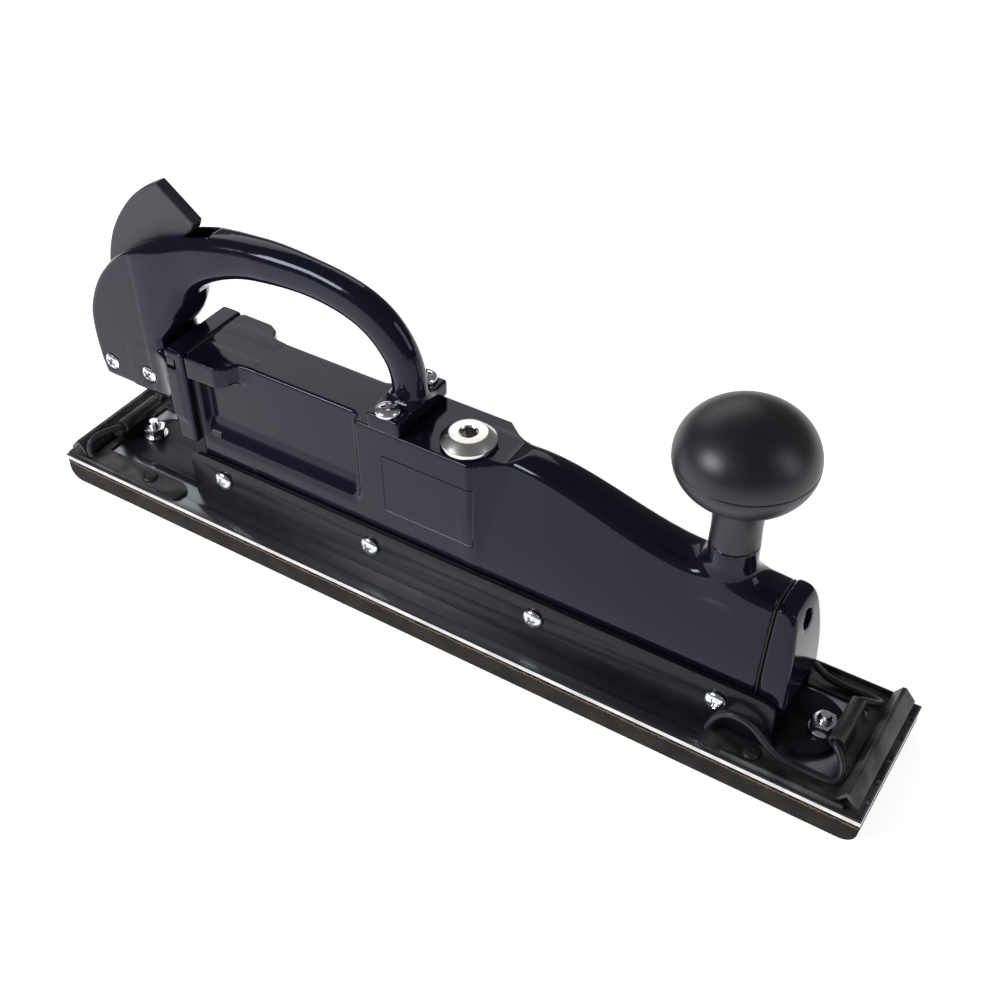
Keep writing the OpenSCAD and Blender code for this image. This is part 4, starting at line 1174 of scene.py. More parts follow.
@dataclass
class BodyCasting:
    """The body: a web with side pockets, a full-width middle and a sloping front barrel."""

    shop: Workshop
    half_width: float = 18.0
    web_half: float = 11.5
    top: float = 100.0
    foot_low: float = 20.0
    foot_top: float = 37.0
    foot_front: float = 145.0
    pocket_front: float = -37.0
    pocket_rear: float = -127.0
    pocket_floor: float = 61.4
    shoulder_start: float = 22.0
    shoulder_end: float = 35.0
    knob_base: float = 100.4
    boss_radius: float = 10.3
    step: float = 1.25

    def crest(self, x: Array) -> Array:
        """Height of the barrel's upper edge along the body."""
        return 100.8 - 16.0 * ease(x, 42, 122) - 0.07 * np.maximum(x - 122, 0)

    def crest_half(self, x: Array) -> Array:
        """Half width between the barrel's upper edges."""
        return 7.6 + 2.8 * (1 - np.exp(-np.maximum(x - 32, 0) / 35))

    def barrel(self, p: Array) -> Array:
        """Distance to the front barrel, whose sides curve out towards the bottom."""
        x, y, z = p[:, 0], np.abs(p[:, 1]), p[:, 2]
        high, near = self.crest(x), self.crest_half(x)
        t = np.clip((high - z) / (high - self.foot_top), -0.25, 1)
        side = near + (self.half_width - 0.1 - near) * np.sin(math.pi / 2 * t)
        crown = high + 2.6 * (1 - (y / near) ** 2)
        d = soft_max((y - side) * 0.9, (z - crown) * 0.9, 1.6)
        return np.maximum(soft_max(d, x - self.front, 1.0), 20 - x)

    def envelope(self, p: Array) -> Array:
        """Distance past the flat sides and the flat top, which joined pieces would swell out of."""
        x, y, z = p[:, 0], np.abs(p[:, 1]), p[:, 2]
        side = y - self.half_width - 3.4 * ease(x, -98, -104)
        return np.maximum(side, z - self.top - 4 * ease(x, 33, 45))

    def field(self) -> Field:
        """Returns the whole casting."""
        low, high = edges_of("housing")
        rear = low.x
        self.front = high.x
        hw, web, top = self.half_width, self.web_half, self.top
        gap = 0.12
        plan = [
            (rear, -hw), (self.shoulder_start, -hw), (self.shoulder_end, -7.9), (self.shoulder_end, 7.9),
            (self.shoulder_start, hw), (rear, hw),
        ]
        middle = overlap(1.4, outline(plan, (0, 1)), block((-400, -40, self.foot_top), (400, 40, top), 0))
        pocket = [(60, 30), (60, 140), (web, 140), (web, self.pocket_floor + 1), (hw, 52.0), (hw + 9, 44)]
        sides = []
        for s in (1, -1):
            shape = outline([(s * y, z) for y, z in pocket], (1, 2))
            ends = block((self.pocket_rear, -60, 30), (self.pocket_front, 60, 140))
            slanted = outline(
                [(self.pocket_rear, s * 60), (self.pocket_rear, s * (web - 0.1)),
                (self.pocket_front - 3, s * (web - 0.1)),
                 (self.pocket_front + 4, s * hw), (self.pocket_front + 4, s * 60)], (0, 1),
            )
            sides.append(overlap(5.0, shape, overlap(0.5, ends, slanted)))
        web_part = cut(2.2, middle, *sides)
        lug = [(rear, 6), (rear, 21.4), (-113, 21.2), (-108, 18.4), (-105, 13.2), (-98, 11.2), (-98, 6)]
        lug_side = [(rear, 87.5), (-112, 88.2), (-98, 92), (-98, top), (rear, top)]
        lugs = [
            overlap(1.3, outline([(x, s * y) for x, y in lug], (0, 1)), outline(lug_side, (0, 2)))
            for s in (1, -1)
        ]
        foot = block((rear, -hw, self.foot_low), (self.foot_front, hw, self.foot_top + 4), 0.8)
        boss = rod(
            (self.boss_x, 0, (80 + self.knob_base) / 2), 2, self.boss_radius, (self.knob_base - 80) / 2, 0.8
        )
        solid = overlap(1.4, join(2.2, web_part, *lugs), block((-400, -60, -50), (400, 60, top)))
        solid = join(0.3, join(4.5, solid, self.barrel), foot)
        solid = overlap(0.7, solid, self.envelope)
        solid = join(7.0, solid, boss)
        grooves = [
            block((-200, 14.3 - gap, 28 - gap), (200, 30, 34 + gap)),
            block((-200, -30, 28 - gap), (200, -14.3 + gap, 34 + gap)),
        ]
        plug_low, plug_high = edges_of("pinion_plug")
        well = (plug_low + plug_high) / 2
        seat = rod((well.x, well.y, top + 5), 2, (plug_high.x - plug_low.x) / 2 + 0.4, 5)
        drive = rod((well.x, well.y, 25), 2, 9.6, 12)
        rack_low, rack_high = edges_of("shoe_rack")
        room = block((rack_low.x - 13, -hw - 2, 10), (rack_high.x + 13, -2, rack_high.z + 0.8))
        return cut(0.5, solid, seat, drive, room, *grooves)

    def build(self) -> None:
        """Builds and dresses the body casting."""
        low, high = edges_of("housing")
        knob_low, knob_high = edges_of("knob")
        self.boss_x = (knob_low.x + knob_high.x) / 2
        piece = FieldMesher(self.step).build("body_casting", self.field(), low, high)
        self.shop.deliver(piece, Coating.ENAMEL, "body", "black_enamel", "housing")


@dataclass
class FrontCap:
    """The cast cap that closes the cylinder at the front, with the exhaust hole."""

    shop: Workshop
    exhaust_radius: float = 4.4
    exhaust_height: float = 74.0

    def field(self) -> Field:
        """Returns the cap."""
        rear = edges_of("front_cap_gasket")[1].x
        face = edges_of("front_cap")[1].x
        side = smooth_curve(
            [(face, 37), (face - 0.3, 46), (face - 0.9, 58), (face - 2, 70), (face - 3.2, 78),
            (face - 5.4, 82.6),
             (face - 9, 84.8), (rear, 85.6)], 5,
        )
        shell = outline([(rear, 37), *side.tolist()], (0, 2))
        rib = smooth_curve([(17.8, 36), (17.7, 42), (17.3, 50), (16.2, 58), (14.3, 68), (12.2, 77),
            (10.4, 83)], 4)
        crown = smooth_curve([(10.4, 83), (7, 84.4), (0, 85.2)], 4)
        right = [*rib.tolist(), *crown.tolist()[1:]]
        section = outline([*right, *[(-y, z) for y, z in right[::-1]][1:]], (1, 2))
        tongue = block((146.5, -14, 31), (face - 1.5, 14, 38), 0.6)
        hole = rod((face, 0, self.exhaust_height), 0, self.exhaust_radius, 30)
        dish = rod((face + 0.6, 0, self.exhaust_height), 0, self.exhaust_radius + 1.1, 2.4)
        screws = []
        cap_screw = edges_of("front_cap_screws")
        for y in (cap_screw[0].y + 2.5, cap_screw[1].y - 2.5):
            screws.append(rod(((cap_screw[0].x + cap_screw[1].x) / 2, y, 34), 2, 1.7, 20))
        return cut(0.7, join(0.4, overlap(2.6, shell, section), tongue), hole, dish, *screws)

    def build(self) -> None:
        """Builds and dresses the cap."""
        low, high = edges_of("front_cap")
        piece = FieldMesher(0.8).build("front_cap_casting", self.field(), low, high)
        self.shop.deliver(piece, Coating.ENAMEL, "body", "black_enamel", "front_cap")


@dataclass
class HandleCasting:
    """The arched grip, its hollow rear block, the flange behind the body and the front foot."""

    shop: Workshop
    slot_half: float = 4.6
    flange_half: float = 21.4
    flange_low: float = 48.5
    top: float = 100.0
    foot_top: float = 108.2
    pocket_half: float = 10.5
    step: float = 1.2
    outer: tuple[Point2, ...] = (
        (-194, 61.5), (-196.3, 72), (-197, 86), (-196, 97.5), (-192.6, 107.4), (-187.5, 117), (-181.5, 125),
        (-173, 133.6), (-162, 141.2), (-148, 148), (-134, 153.2), (-119, 157.6), (-100, 160.6), (-80, 161.6),
        (-62, 160.8), (-46, 158.2), (-33, 153.6), (-22.5, 146), (-14.6, 135), (-10.4, 122), (-9.2, 104),
    )
    inner: tuple[Point2, ...] = (
        (-26, 104), (-26.8, 119), (-31, 128), (-38.5, 135.4), (-48.5, 140), (-62, 142.6), (-79, 143.4),
        (-97, 141.6), (-112, 137.4), (-124, 131.2), (-132, 123.6), (-137, 113), (-142, 104.6), (-150.5, 95.5),
    )
    slot: tuple[Point2, ...] = (
        (-118.9, 185), (-118.9, 153.5), (-112.5, 151), (-112.5, 141.6), (-121, 138.2), (-131.6, 129.6),
        (-140.6, 115.4), (-150, 104), (-189.5, 104), (-191.5, 118), (-189.5, 185),
    )

    def grip_half(self, p: Array) -> Array:
        """Half width of the arch along the tool."""
        x = p[:, 0]
        return 6.6 + 1.6 * ease(x, -60, -95) + 2.2 * ease(x, -95, -130) + 3.6 * ease(x, -125, -162)

    def field(self) -> Field:
        """Returns the whole casting."""
        profile = outline([*smooth_curve(self.outer, 4), *smooth_curve(self.inner, 4), (-150.5, 61.5)])

        def arch(p: Array) -> Array:
            """Distance to the arch, whose edges are rounder at the grip than at the rear block."""
            rounding = 8.5 - 5.5 * ease(p[:, 0], -140, -165)
            return soft_max(profile(p), np.abs(p[:, 1]) - self.grip_half(p), rounding)

        rear = edges_of("rear_gasket")[0].x
        plate = block((rear - 11, -self.flange_half, self.flange_low), (rear, self.flange_half, self.top),
            1.6)
        def spread(p: Array) -> Array:
            """Half width of the neck, which flares out to the flange."""
            return 13.9 + 7.3 * np.clip((p[:, 0] + 163) / 21, 0, 1) ** 2.6

        neck = overlap(
            2.6, outline([(-176, 61.5), (-176, 90), (rear - 4, 90), (rear - 4, 61.5)]), within(spread)
        )
        foot_low, foot_high = edges_of("handle_foot_screws")
        lug = (foot_high.y + abs(foot_low.y)) / 2 - 5.6
        foot = overlap(
            1.6,
            block((-28.5, -19, self.top), (-11.5, 19, self.foot_top), 1.4),
            block((-40, -19.5, 90), (0, 19.5, 120)),
        )
        solid = join(5.0, arch, foot)
        solid = join(2.5, join(1.0, solid, neck), plate)
        solid = overlap(0.6, solid, within(lambda p: 14.0 + 30 * ease(p[:, 0], -163, -130)))
        pocket = block((-230, -self.pocket_half, 64.5), (-153, self.pocket_half, 101.5), 0.8)
        room = block((-182.5, -self.pocket_half, 95), (-157.5, self.pocket_half, 118.5), 0.8)
        slot = overlap(0.3, outline(self.slot), within(self.slot_half))
        holes = [rod((-20, s * lug, self.foot_top), 2, 2.7, 14) for s in (1, -1)]
        sinks = []
        for x, z in CheekScrews.places:
            for s in (1, -1):
                sinks.append(rod((x, s * 14, z), 1, 4.45, 1.2))
        bolt = edges_of("rear_flange_screws")
        for y, z in ((17, 93), (-17, 93), (14.5, 54.5), (-14.5, 54.5)):
            sinks.append(rod((bolt[0].x - 3, y, z), 0, 4.45, 8.2))
        return cut(0.5, cut(1.0, solid, pocket, room), slot, *holes, *sinks)

    def build(self) -> None:
        """Builds and dresses the handle."""
        low, high = edges_of("handle")
        piece = FieldMesher(self.step).build("handle_casting", self.field(), low, high)
        self.shop.deliver(piece, Coating.ENAMEL, "body", "black_enamel", "handle")


@dataclass
class CheekScrews:
    """The flush cross-head screws in the cheeks of the handle's rear block."""

    places = ((-188.3, 70.9), (-164.0, 72.2))


@dataclass
class ThrottleLever:
    """The flat lever that stands out of the handle's slot, with its pin, stem and spring."""

    shop: Workshop
    trees: TreeSet
    half: float = 3.1
    spring_end: float = 101.0
    spring_keep: float = 0.25
    outline_points: tuple[Point2, ...] = (
        (-146.7, 174.8), (-153.4, 171.2), (-159.4, 167.1), (-167.2, 159.9), (-175.4, 149.8), (-181, 140.6),
        (-184.8, 131.6), (-187.2, 123.2), (-185.6, 116), (-182.8, 111), (-178, 109), (-168, 112.6),
        (-159, 113.8), (-152, 123), (-147, 134), (-141, 146), (-129.6, 156.2), (-127.9, 160.1),
    )

    def build(self) -> None:
        """Builds and dresses the lever and what moves with it."""
        rear = smooth_curve(self.outline_points[:8], 4).tolist()
        shape = outline([*rear, *self.outline_points[8:]])
        pivot = joint_place("throttle_hinge")
        stem = edges_of("valve_stem")
        cam = rod(((stem[0].x + stem[1].x) / 2, 0, stem[1].z + 3.1), 1, 3.0, self.half, 0.4)
        hole = rod((pivot.x, 0, pivot.z), 1, 2.06, 20)
        solid = cut(0.3, join(0.5, overlap(1.0, shape, within(self.half)), cam), hole)
        low, high = edges_of("throttle_lever")
        piece = FieldMesher(0.7).build("lever_plate", solid, low, high)
        self.shop.deliver(piece, Coating.LEVER, "throttle_lever", "black_lever", "throttle_lever")
        self._spring()

    def _spring(self) -> None:
        """Winds the spring under the stem's head."""
        low, high = edges_of("valve_spring")
        wire = 0.5
        host = points_object(
            "stem_spring", [((low.x + high.x) / 2, 0, low.z + wire)], [(0, 0, 1)]
        )
        run_tree(
            host,
            self.trees.coil,
            Radius=wire * MM,
            Coil_Radius=((high.x - low.x) / 2 - wire) * MM,
            Turns=3.5,
            Height=(high.z - low.z - 2 * wire) * MM,
            Finish=self.shop.material(Coating.ZINC),
        )
        self.shop.deliver(host, Coating.ZINC, "body", "zinc_plated", "valve_spring")
        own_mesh(host)


@dataclass
class BallKnob:
    """The moulded ball knob with its parting line and flared neck."""

    shop: Workshop
    segments: int = 96
    neck: tuple[Point2, ...] = (
        (9.9, 0.0), (10.2, 0.5), (10.1, 3.0), (10.0, 8.0), (10.3, 14.0), (11.2, 19.0), (12.6, 22.4),
        (14.6, 24.8),
    )

    def build(self) -> None:
        """Builds and dresses the knob."""
        low, high = edges_of("knob")
        centre_x = (low.x + high.x) / 2
        radius = (high.x - low.x) / 2
        parting = 141.8
        down, up = 20.2, high.z - parting
        profile = [(0.0, low.z + 0.02)]
        neck = smooth_curve(self.neck, 5)
        profile += [(float(r), low.z + float(z)) for r, z in neck]
        last = neck[-1][0]
        start = -math.acos(last / radius)
        for a in np.linspace(start, 0, 30)[1:-1]:
            profile.append((radius * math.cos(a), parting + down * math.sin(a)))
        seam = [(0.05, -0.55), (0.0, -0.3), (-0.28, -0.12), (-0.28, 0.12), (0.0, 0.3), (0.05, 0.55)]
        profile += [(radius + r - 0.1, parting + z) for r, z in seam]
        for a in np.linspace(0, math.pi / 2, 34)[1:-1]:
            profile.append((radius * math.cos(a), parting + up * math.sin(a)))
        profile.append((0.0, high.z))
        profile.sort(key=lambda spot: spot[1])
        shape = lathe(profile, self.segments)
        bmesh.ops.translate(shape, vec=(centre_x, 0, 0), verts=shape.verts)
        piece = from_bmesh("ball_knob", shape, 60)
        self.shop.deliver(piece, Coating.KNOB, "body", "knob_plastic", "knob")


@dataclass
class PinionPlug:
    """The nickel plug with a hex socket that closes the pinion's well."""

    shop: Workshop
    socket_across: float = 7.2
    socket_depth: float = 7.2

    def build(self) -> None:
        """Builds and dresses the plug."""
        low, high = edges_of("pinion_plug")
        middle = (low + high) / 2
        radius = (high.x - low.x) / 2
        seat, rim, top = 100.0, 102.4, high.z
        flat = 8.3
        profile = [
            (0, low.z), (10.4, low.z), (10.9, low.z + 0.5), (10.9, seat - 1.2), (10.2, seat - 0.9),
            (10.2, seat),
            (radius - 0.5, seat), (radius, seat + 0.5), (radius, rim - 0.45), (radius - 0.14, rim - 0.12),
            (radius - 0.5, rim + 0.14), (flat + 0.5, top - 0.22), (flat, top - 0.04), (flat - 0.4, top),
            (0, top),
        ]
        shape = lathe(profile, 96)
        piece = from_bmesh("plug_body", shape, 25)
        corner = self.socket_across / math.sqrt(3)
        ring = [(corner * math.cos(math.radians(60 * k)),
            corner * math.sin(math.radians(60 * k))) for k in range(6)]
        tool = from_bmesh("socket_tool", prism(ring, top - self.socket_depth, top + 2, 2))
        boolean(piece, tool, "DIFFERENCE")
        cone = lathe([(0, top - 0.5), (corner - 0.35, top - 0.5), (corner + 0.4, top + 0.25),
            (0, top + 0.25)], 48)
        boolean(piece, from_bmesh("bevel_tool", cone), "DIFFERENCE")
        shape = bmesh.new()
        shape.from_mesh(piece.data)
        bmesh.ops.rotate(shape, matrix=Matrix.Rotation(math.radians(12), 3, "Z"), verts=shape.verts)
        bmesh.ops.translate(shape, vec=(middle.x * MM, middle.y * MM, 0), verts=shape.verts)
        shape.to_mesh(piece.data)
        shape.free()
        self.shop.deliver(piece, Coating.NICKEL, "body", "nickel_plated", "pinion_plug")


# ---------------------------------------------------------------- fasteners


class Recess(Enum):
    """What a screw driver finds in a screw's head."""

    CROSS = "cross"
    HEX = "hex"
    NONE = "none"


@dataclass
class Fasteners:
    """Screws, studs, nuts, washers and rivets, each pattern set on its points by a node tree."""

    shop: Workshop
    trees: TreeSet
    clip_top: float = 16.2

    def head(self, name: str, profile: Sequence[Point2], recess: Recess, size: float, top: float,
            depth: float) -> bpy.types.Object:
        """Turns a fastener from a profile and cuts its recess.

        Args:
            name: The object's name.
            profile: Radius and height pairs from the shank's tip up.
            recess: The kind of recess.
            size: How wide the recess is.
            top: The height of the head's top.
            depth: How deep the recess goes.

        Returns:
            The fastener, standing at the origin.
        """
        piece = from_bmesh(name, lathe(profile, 40), 40)
        if recess is Recess.CROSS:
            wide, narrow, tip = size / 2, size * 0.13, 0.45
            for turn in (0, 90):
                tool = bmesh.new()
                rings = []
                for z, k in ((top - depth, tip), (top + 1, 1.25)):
                    rings.append(
                        [tool.verts.new((x * wide * k, y * narrow * (0.6 + 0.4 * k), z)) for x, y in
                         ((-1, -1), (1, -1), (1, 1), (-1, 1))]
                    )
                tool.faces.new(rings[0])
                tool.faces.new(rings[1])
                for k in range(4):
                    n = (k + 1) % 4
                    tool.faces.new((rings[0][k], rings[0][n], rings[1][n], rings[1][k]))
                bmesh.ops.rotate(tool, matrix=Matrix.Rotation(math.radians(turn), 3, "Z"), verts=tool.verts)
                boolean(piece, from_bmesh("cross_tool", tool), "DIFFERENCE")
        if recess is Recess.HEX:
            ring = [(size / 2 * math.cos(math.pi / 3 * k),
                size / 2 * math.sin(math.pi / 3 * k)) for k in range(6)]
            boolean(piece, from_bmesh("hex_tool", prism(ring, top - depth, top + 1, 2)), "DIFFERENCE")
        return piece

    def pattern(
        self, name: str, part: bpy.types.Object, spots: Sequence[Point3], aims: Sequence[Point3], body: str,
        coating: Coating, slot: str, node: str, turn: float = 0.6, seed: int = 4,
    ) -> None:
        """Sets a fastener on each spot and delivers the group.

        Args:
            name: The new piece's name.
            part: The fastener, which is used up.
            spots: Where each one's seat is, in millimetres.
            aims: Which way each one's head faces.
            body: The body that they move with.
            coating: Their finish.
            slot: The record's material slot.
            node: The frame node that they stand for.
            turn: How far each may be turned by chance, in radians.
            seed: What fixes the chance.
        """
        host = points_object(name, spots, aims)
        run_tree(
            host, self.trees.fasteners, Fastener=part, Finish=self.shop.material(coating), Turn=turn,
            Seed=seed
        )
        bpy.data.objects.remove(part)
        self.shop.deliver(host, coating, body, slot, node)

    @staticmethod
    def pan_profile(head: float, height: float, shank: float, length: float) -> list[Point2]:
        """Returns a pan head with a rounded rim over a plain shank."""
        dome = [
            (head * math.cos(a), height * (0.28 + 0.72 * math.sin(a)))
            for a in np.linspace(0.12, math.pi / 2, 12)[:-1]
        ]
        return [(0, -length), (shank, -length), (shank, 0), (head - 0.35, 0), (head, 0.35),
            (head, height * 0.3), *dome, (0, height)]

    def build(self) -> None:
        """Builds every pattern."""
        self._side_screws()
        self._foot_screws()
        self._cheek_screws()
        self._flange_screws()
        self._cap_screws()
        self._studs()
        self._nuts()
        self._washers()
        self._rivets("front", 1)
        self._rivets("rear", -1)

    def _side_screws(self) -> None:
        """The pan-head screws in the carrier's flanges."""
        low, high = edges_of("carrier_side_screws")
        flange = edges_of("carrier")[1].y
        head, tall = (high.z - low.z) / 2, high.y - flange
        xs = np.linspace(low.x + head, high.x - head, 4)
        z = (low.z + high.z) / 2
        part = self.head("pan_screw", self.pan_profile(head, tall, 2.4, 5.5), Recess.CROSS, 5.6, tall, 2.0)
        spots = [(float(x), s * flange, z) for x in xs for s in (-1, 1)]
        aims = [(0, s, 0) for _ in xs for s in (-1, 1)]
        self.pattern(
            "flange_screws", part, spots, aims, "shoe", Coating.ZINC, "zinc_plated", "carrier_side_screws",
            0.7, 11
        )

    def _foot_screws(self) -> None:
        """The two screws through the handle's front foot."""
        low, high = edges_of("handle_foot_screws")
        head, x = (high.x - low.x) / 2, (low.x + high.x) / 2
        seat = 108.2
        tall = high.z - seat
        part = self.head("foot_screw", self.pan_profile(head, tall, 2.45, 18), Recess.CROSS, 6.2, tall, 2.3)
        spots = [(x, low.y + head, seat), (x, high.y - head, seat)]
        self.pattern(
            "foot_screws", part, spots, [(0, 0, 1)] * 2, "body", Coating.ZINC, "zinc_plated",
            "handle_foot_screws", 0.9, 3
        )

    def _cheek_screws(self) -> None:
        """The flush screws in the cheeks of the rear block."""
        cheek = edges_of("handle_side_screws")[1].y
        profile = [
            (0, -8.5), (1.95, -8.5), (1.95, -2.4), (4.1, -0.35), (4.2, -0.1), (4.0, 0.0), (3.4, 0.55),
            (1.8, 0.95), (0, 1.1)
        ]
        part = self.head("flush_screw", profile, Recess.CROSS, 5.2, 1.0, 2.2)
        spots = [(x, s * cheek, z) for x, z in CheekScrews.places for s in (-1, 1)]
        aims = [(0, s, 0) for _ in CheekScrews.places for s in (-1, 1)]
        self.pattern("cheek_screws", part, spots, aims, "body", Coating.ZINC, "zinc_plated",
            "handle_side_screws", 0.8, 8)

    def _flange_screws(self) -> None:
        """The four socket screws behind the handle's rear flange."""
        low = edges_of("rear_flange_screws")[0]
        head = 4.2
        profile = [(0, -18), (2.45, -18), (2.45, 0), (head, 0), (head, 4.0), (head - 0.4, 4.5), (0, 4.5)]
        part = self.head("socket_screw", profile, Recess.HEX, 4.6, 4.5, 2.6)
        seat = low.x + 4.5
        spots = [(seat, s * y, z) for y, z in ((17, 93), (14.5, 54.5)) for s in (-1, 1)]
        self.pattern(
            "flange_bolts", part, spots, [(-1, 0, 0)] * 4, "body", Coating.OXIDE, "oxide_steel",
            "rear_flange_screws", 0.5, 6
        )

    def _cap_screws(self) -> None:
        """The two screws that hold the front cap from below."""
        low, high = edges_of("front_cap_screws")
        head = 2.5
        part = self.head("cap_screw", self.pan_profile(head, 1.5, 1.45, 11), Recess.CROSS, 3.0, 1.5, 0.9)
        spots = [((low.x + high.x) / 2, y, low.z + 1.5) for y in (low.y + head, high.y - head)]
        self.pattern("cap_screws", part, spots, [(0, 0, -1)] * 2, "body", Coating.ZINC, "zinc_plated",
            "front_cap_screws", 0.7, 2)

    def _studs(self) -> None:
        """The two threaded studs, with real thread ridges where they show."""
        low, high = edges_of("shoe_studs")
        x = high.x - 5.6
        pitch, crest, root = 1.0, 3.0, 2.62
        profile: list[Point2] = [(0, low.z), (5.2, low.z), (5.6, low.z + 0.4), (5.6, low.z + 2.8),
            (crest - 0.1, low.z + 2.8)]
        z = edges_of("carrier")[0].z
        profile.append((crest - 0.1, z))
        while z < high.z - 1.4:
            profile += [(root, z + 0.15), (crest, z + pitch / 2), (root, z + pitch - 0.15)]
            z += pitch
        profile += [(root - 0.1, z + 0.1), (root - 0.55, high.z), (0, high.z)]
        part = from_bmesh("stud", lathe(profile, 32), 50)
        spots = [(x, 0, 0), (-x, 0, 0)]
        self.pattern("threaded_studs", part, spots, [(0, 0, 1)] * 2, "shoe", Coating.ZINC, "zinc_plated",
            "shoe_studs", 1.0, 5)

    def _nuts(self) -> None:
        """The two hex nuts with turned corners."""
        low, high = edges_of("stud_nuts")
        stud = edges_of("shoe_studs")
        x, reach, tall = stud[1].x - 5.6, 5.8, high.z - low.z
        ring = [(reach * math.cos(math.pi / 3 * k), reach * math.sin(math.pi / 3 * k)) for k in range(6)]
        shape = prism(ring, 0, tall, 2)
        round_edges(shape, 0.18, 2)
        part = from_bmesh("nut", shape, 40)
        cone = lathe([(0, -0.5), (reach - 0.5, -0.5), (reach + 0.4, 0.55), (reach + 0.4, tall - 0.6),
            (reach - 0.85, tall + 0.1), (0, tall + 0.1)], 48)
        boolean(part, from_bmesh("corner_tool", cone), "INTERSECT")
        bore = lathe([(0, -1), (3.05, -1), (3.05, tall - 0.5), (3.7, tall + 0.3), (0, tall + 0.3)], 32)
        boolean(part, from_bmesh("bore_tool", bore), "DIFFERENCE")
        spots = [(x, 0, low.z), (-x, 0, low.z)]
        self.pattern("hex_nuts", part, spots, [(0, 0, 1)] * 2, "shoe", Coating.ZINC, "zinc_plated",
            "stud_nuts", 1.0, 9)

    def _washers(self) -> None:
        """The two spring washers under the nuts, each with its split."""
        low, high = edges_of("stud_washers")
        x = edges_of("shoe_studs")[1].x - 5.6
        outer, inner, tall = 6.2, 3.2, high.z - low.z
        shape = bmesh.new()
        steps = 40
        rings = []
        for k in range(steps + 1):
            a = math.radians(6 + 348 * k / steps)
            lift = 0.35 * (k / steps - 0.5)
            rings.append(
                [
                    shape.verts.new((r * math.cos(a), r * math.sin(a), z + lift))
                    for r, z in ((inner, 0.2), (outer, 0.2), (outer, tall), (inner, tall))
                ]
            )
        for a, b in zip(rings, rings[1:]):
            for k in range(4):
                n = (k + 1) % 4
                shape.faces.new((a[k], a[n], b[n], b[k]))
        shape.faces.new(rings[0])
        shape.faces.new(rings[-1])
        part = from_bmesh("washer", shape, 40)
        spots = [(x, 0, low.z - 0.02), (-x, 0, low.z - 0.02)]
        self.pattern("spring_washers", part, spots, [(0, 0, 1)] * 2, "shoe", Coating.ZINC, "zinc_plated",
            "stud_washers", 1.5, 7)

    def _rivets(self, end: str, side: int) -> None:
        """The two rivets that hold one clip base."""
        low, high = edges_of(f"{end}_clip_rivets")
        seat = self.clip_top
        tall, reach = high.z - seat, (high.x - low.x) / 2
        dome = [(reach * math.cos(a), tall * math.sin(a)) for a in np.linspace(0.15, math.pi / 2, 9)[:-1]]
        dimple = [(0.9, tall * 0.98), (0.5, tall * 0.8), (0, tall * 0.76)]
        profile = [(0, -2.4), (1.75, -2.4), (1.75, 0), (reach - 0.1, 0), *dome[:-1], *dimple]
        part = from_bmesh("rivet", lathe(profile, 28), 50)
        x = (low.x + high.x) / 2
        spots = [(x, y, seat) for y in (low.y + reach, high.y - reach)]
        self.pattern(
            f"{end}_rivets", part, spots, [(0, 0, 1)] * 2, "shoe", Coating.OXIDE, "oxide_steel",
            f"{end}_clip_rivets", 1.5, 12
        )


# ---------------------------------------------------------------- shoe


@dataclass
class Shoe:
    """The sanding shoe: pad, glue line, base plate, carrier channel and guide strips."""

    shop: Workshop

    def build(self) -> None:
        """Builds and dresses the shoe's own parts."""
        plate = softened_copy("base_plate", "plate_sheet", 0.28, 2)
        self.shop.deliver(plate, Coating.PLATE, "shoe", "bare_steel")
        # The plate's side faces take the bright edge finish: bare sheared steel, brightened as a painted
        # highlight of the edge catching the light.
        plate.data.materials.append(self.shop.material(Coating.EDGE_AND_HIGHLIGHT))
        for face in plate.data.polygons:
            if face.normal.z < 0.8:
                face.material_index = 1
        carrier = softened_copy("carrier", "carrier_channel", 0.5, 3)
        self.shop.deliver(carrier, Coating.SHEET_BLACK, "shoe", "black_steel")
        pad = softened_copy("backing_pad", "rubber_pad", 0.6, 3)
        self.shop.deliver(pad, Coating.PAD, "shoe", "pad_rubber")
        strips = softened_copy("guide_strips", "slide_strips", 0.3, 2)
        self.shop.deliver(strips, Coating.GUIDE, "shoe", "guide_plastic")
        self.shop.keep("shoe_rack", Coating.GROUND)
        self.shop.keep("rack_screws", Coating.OXIDE)


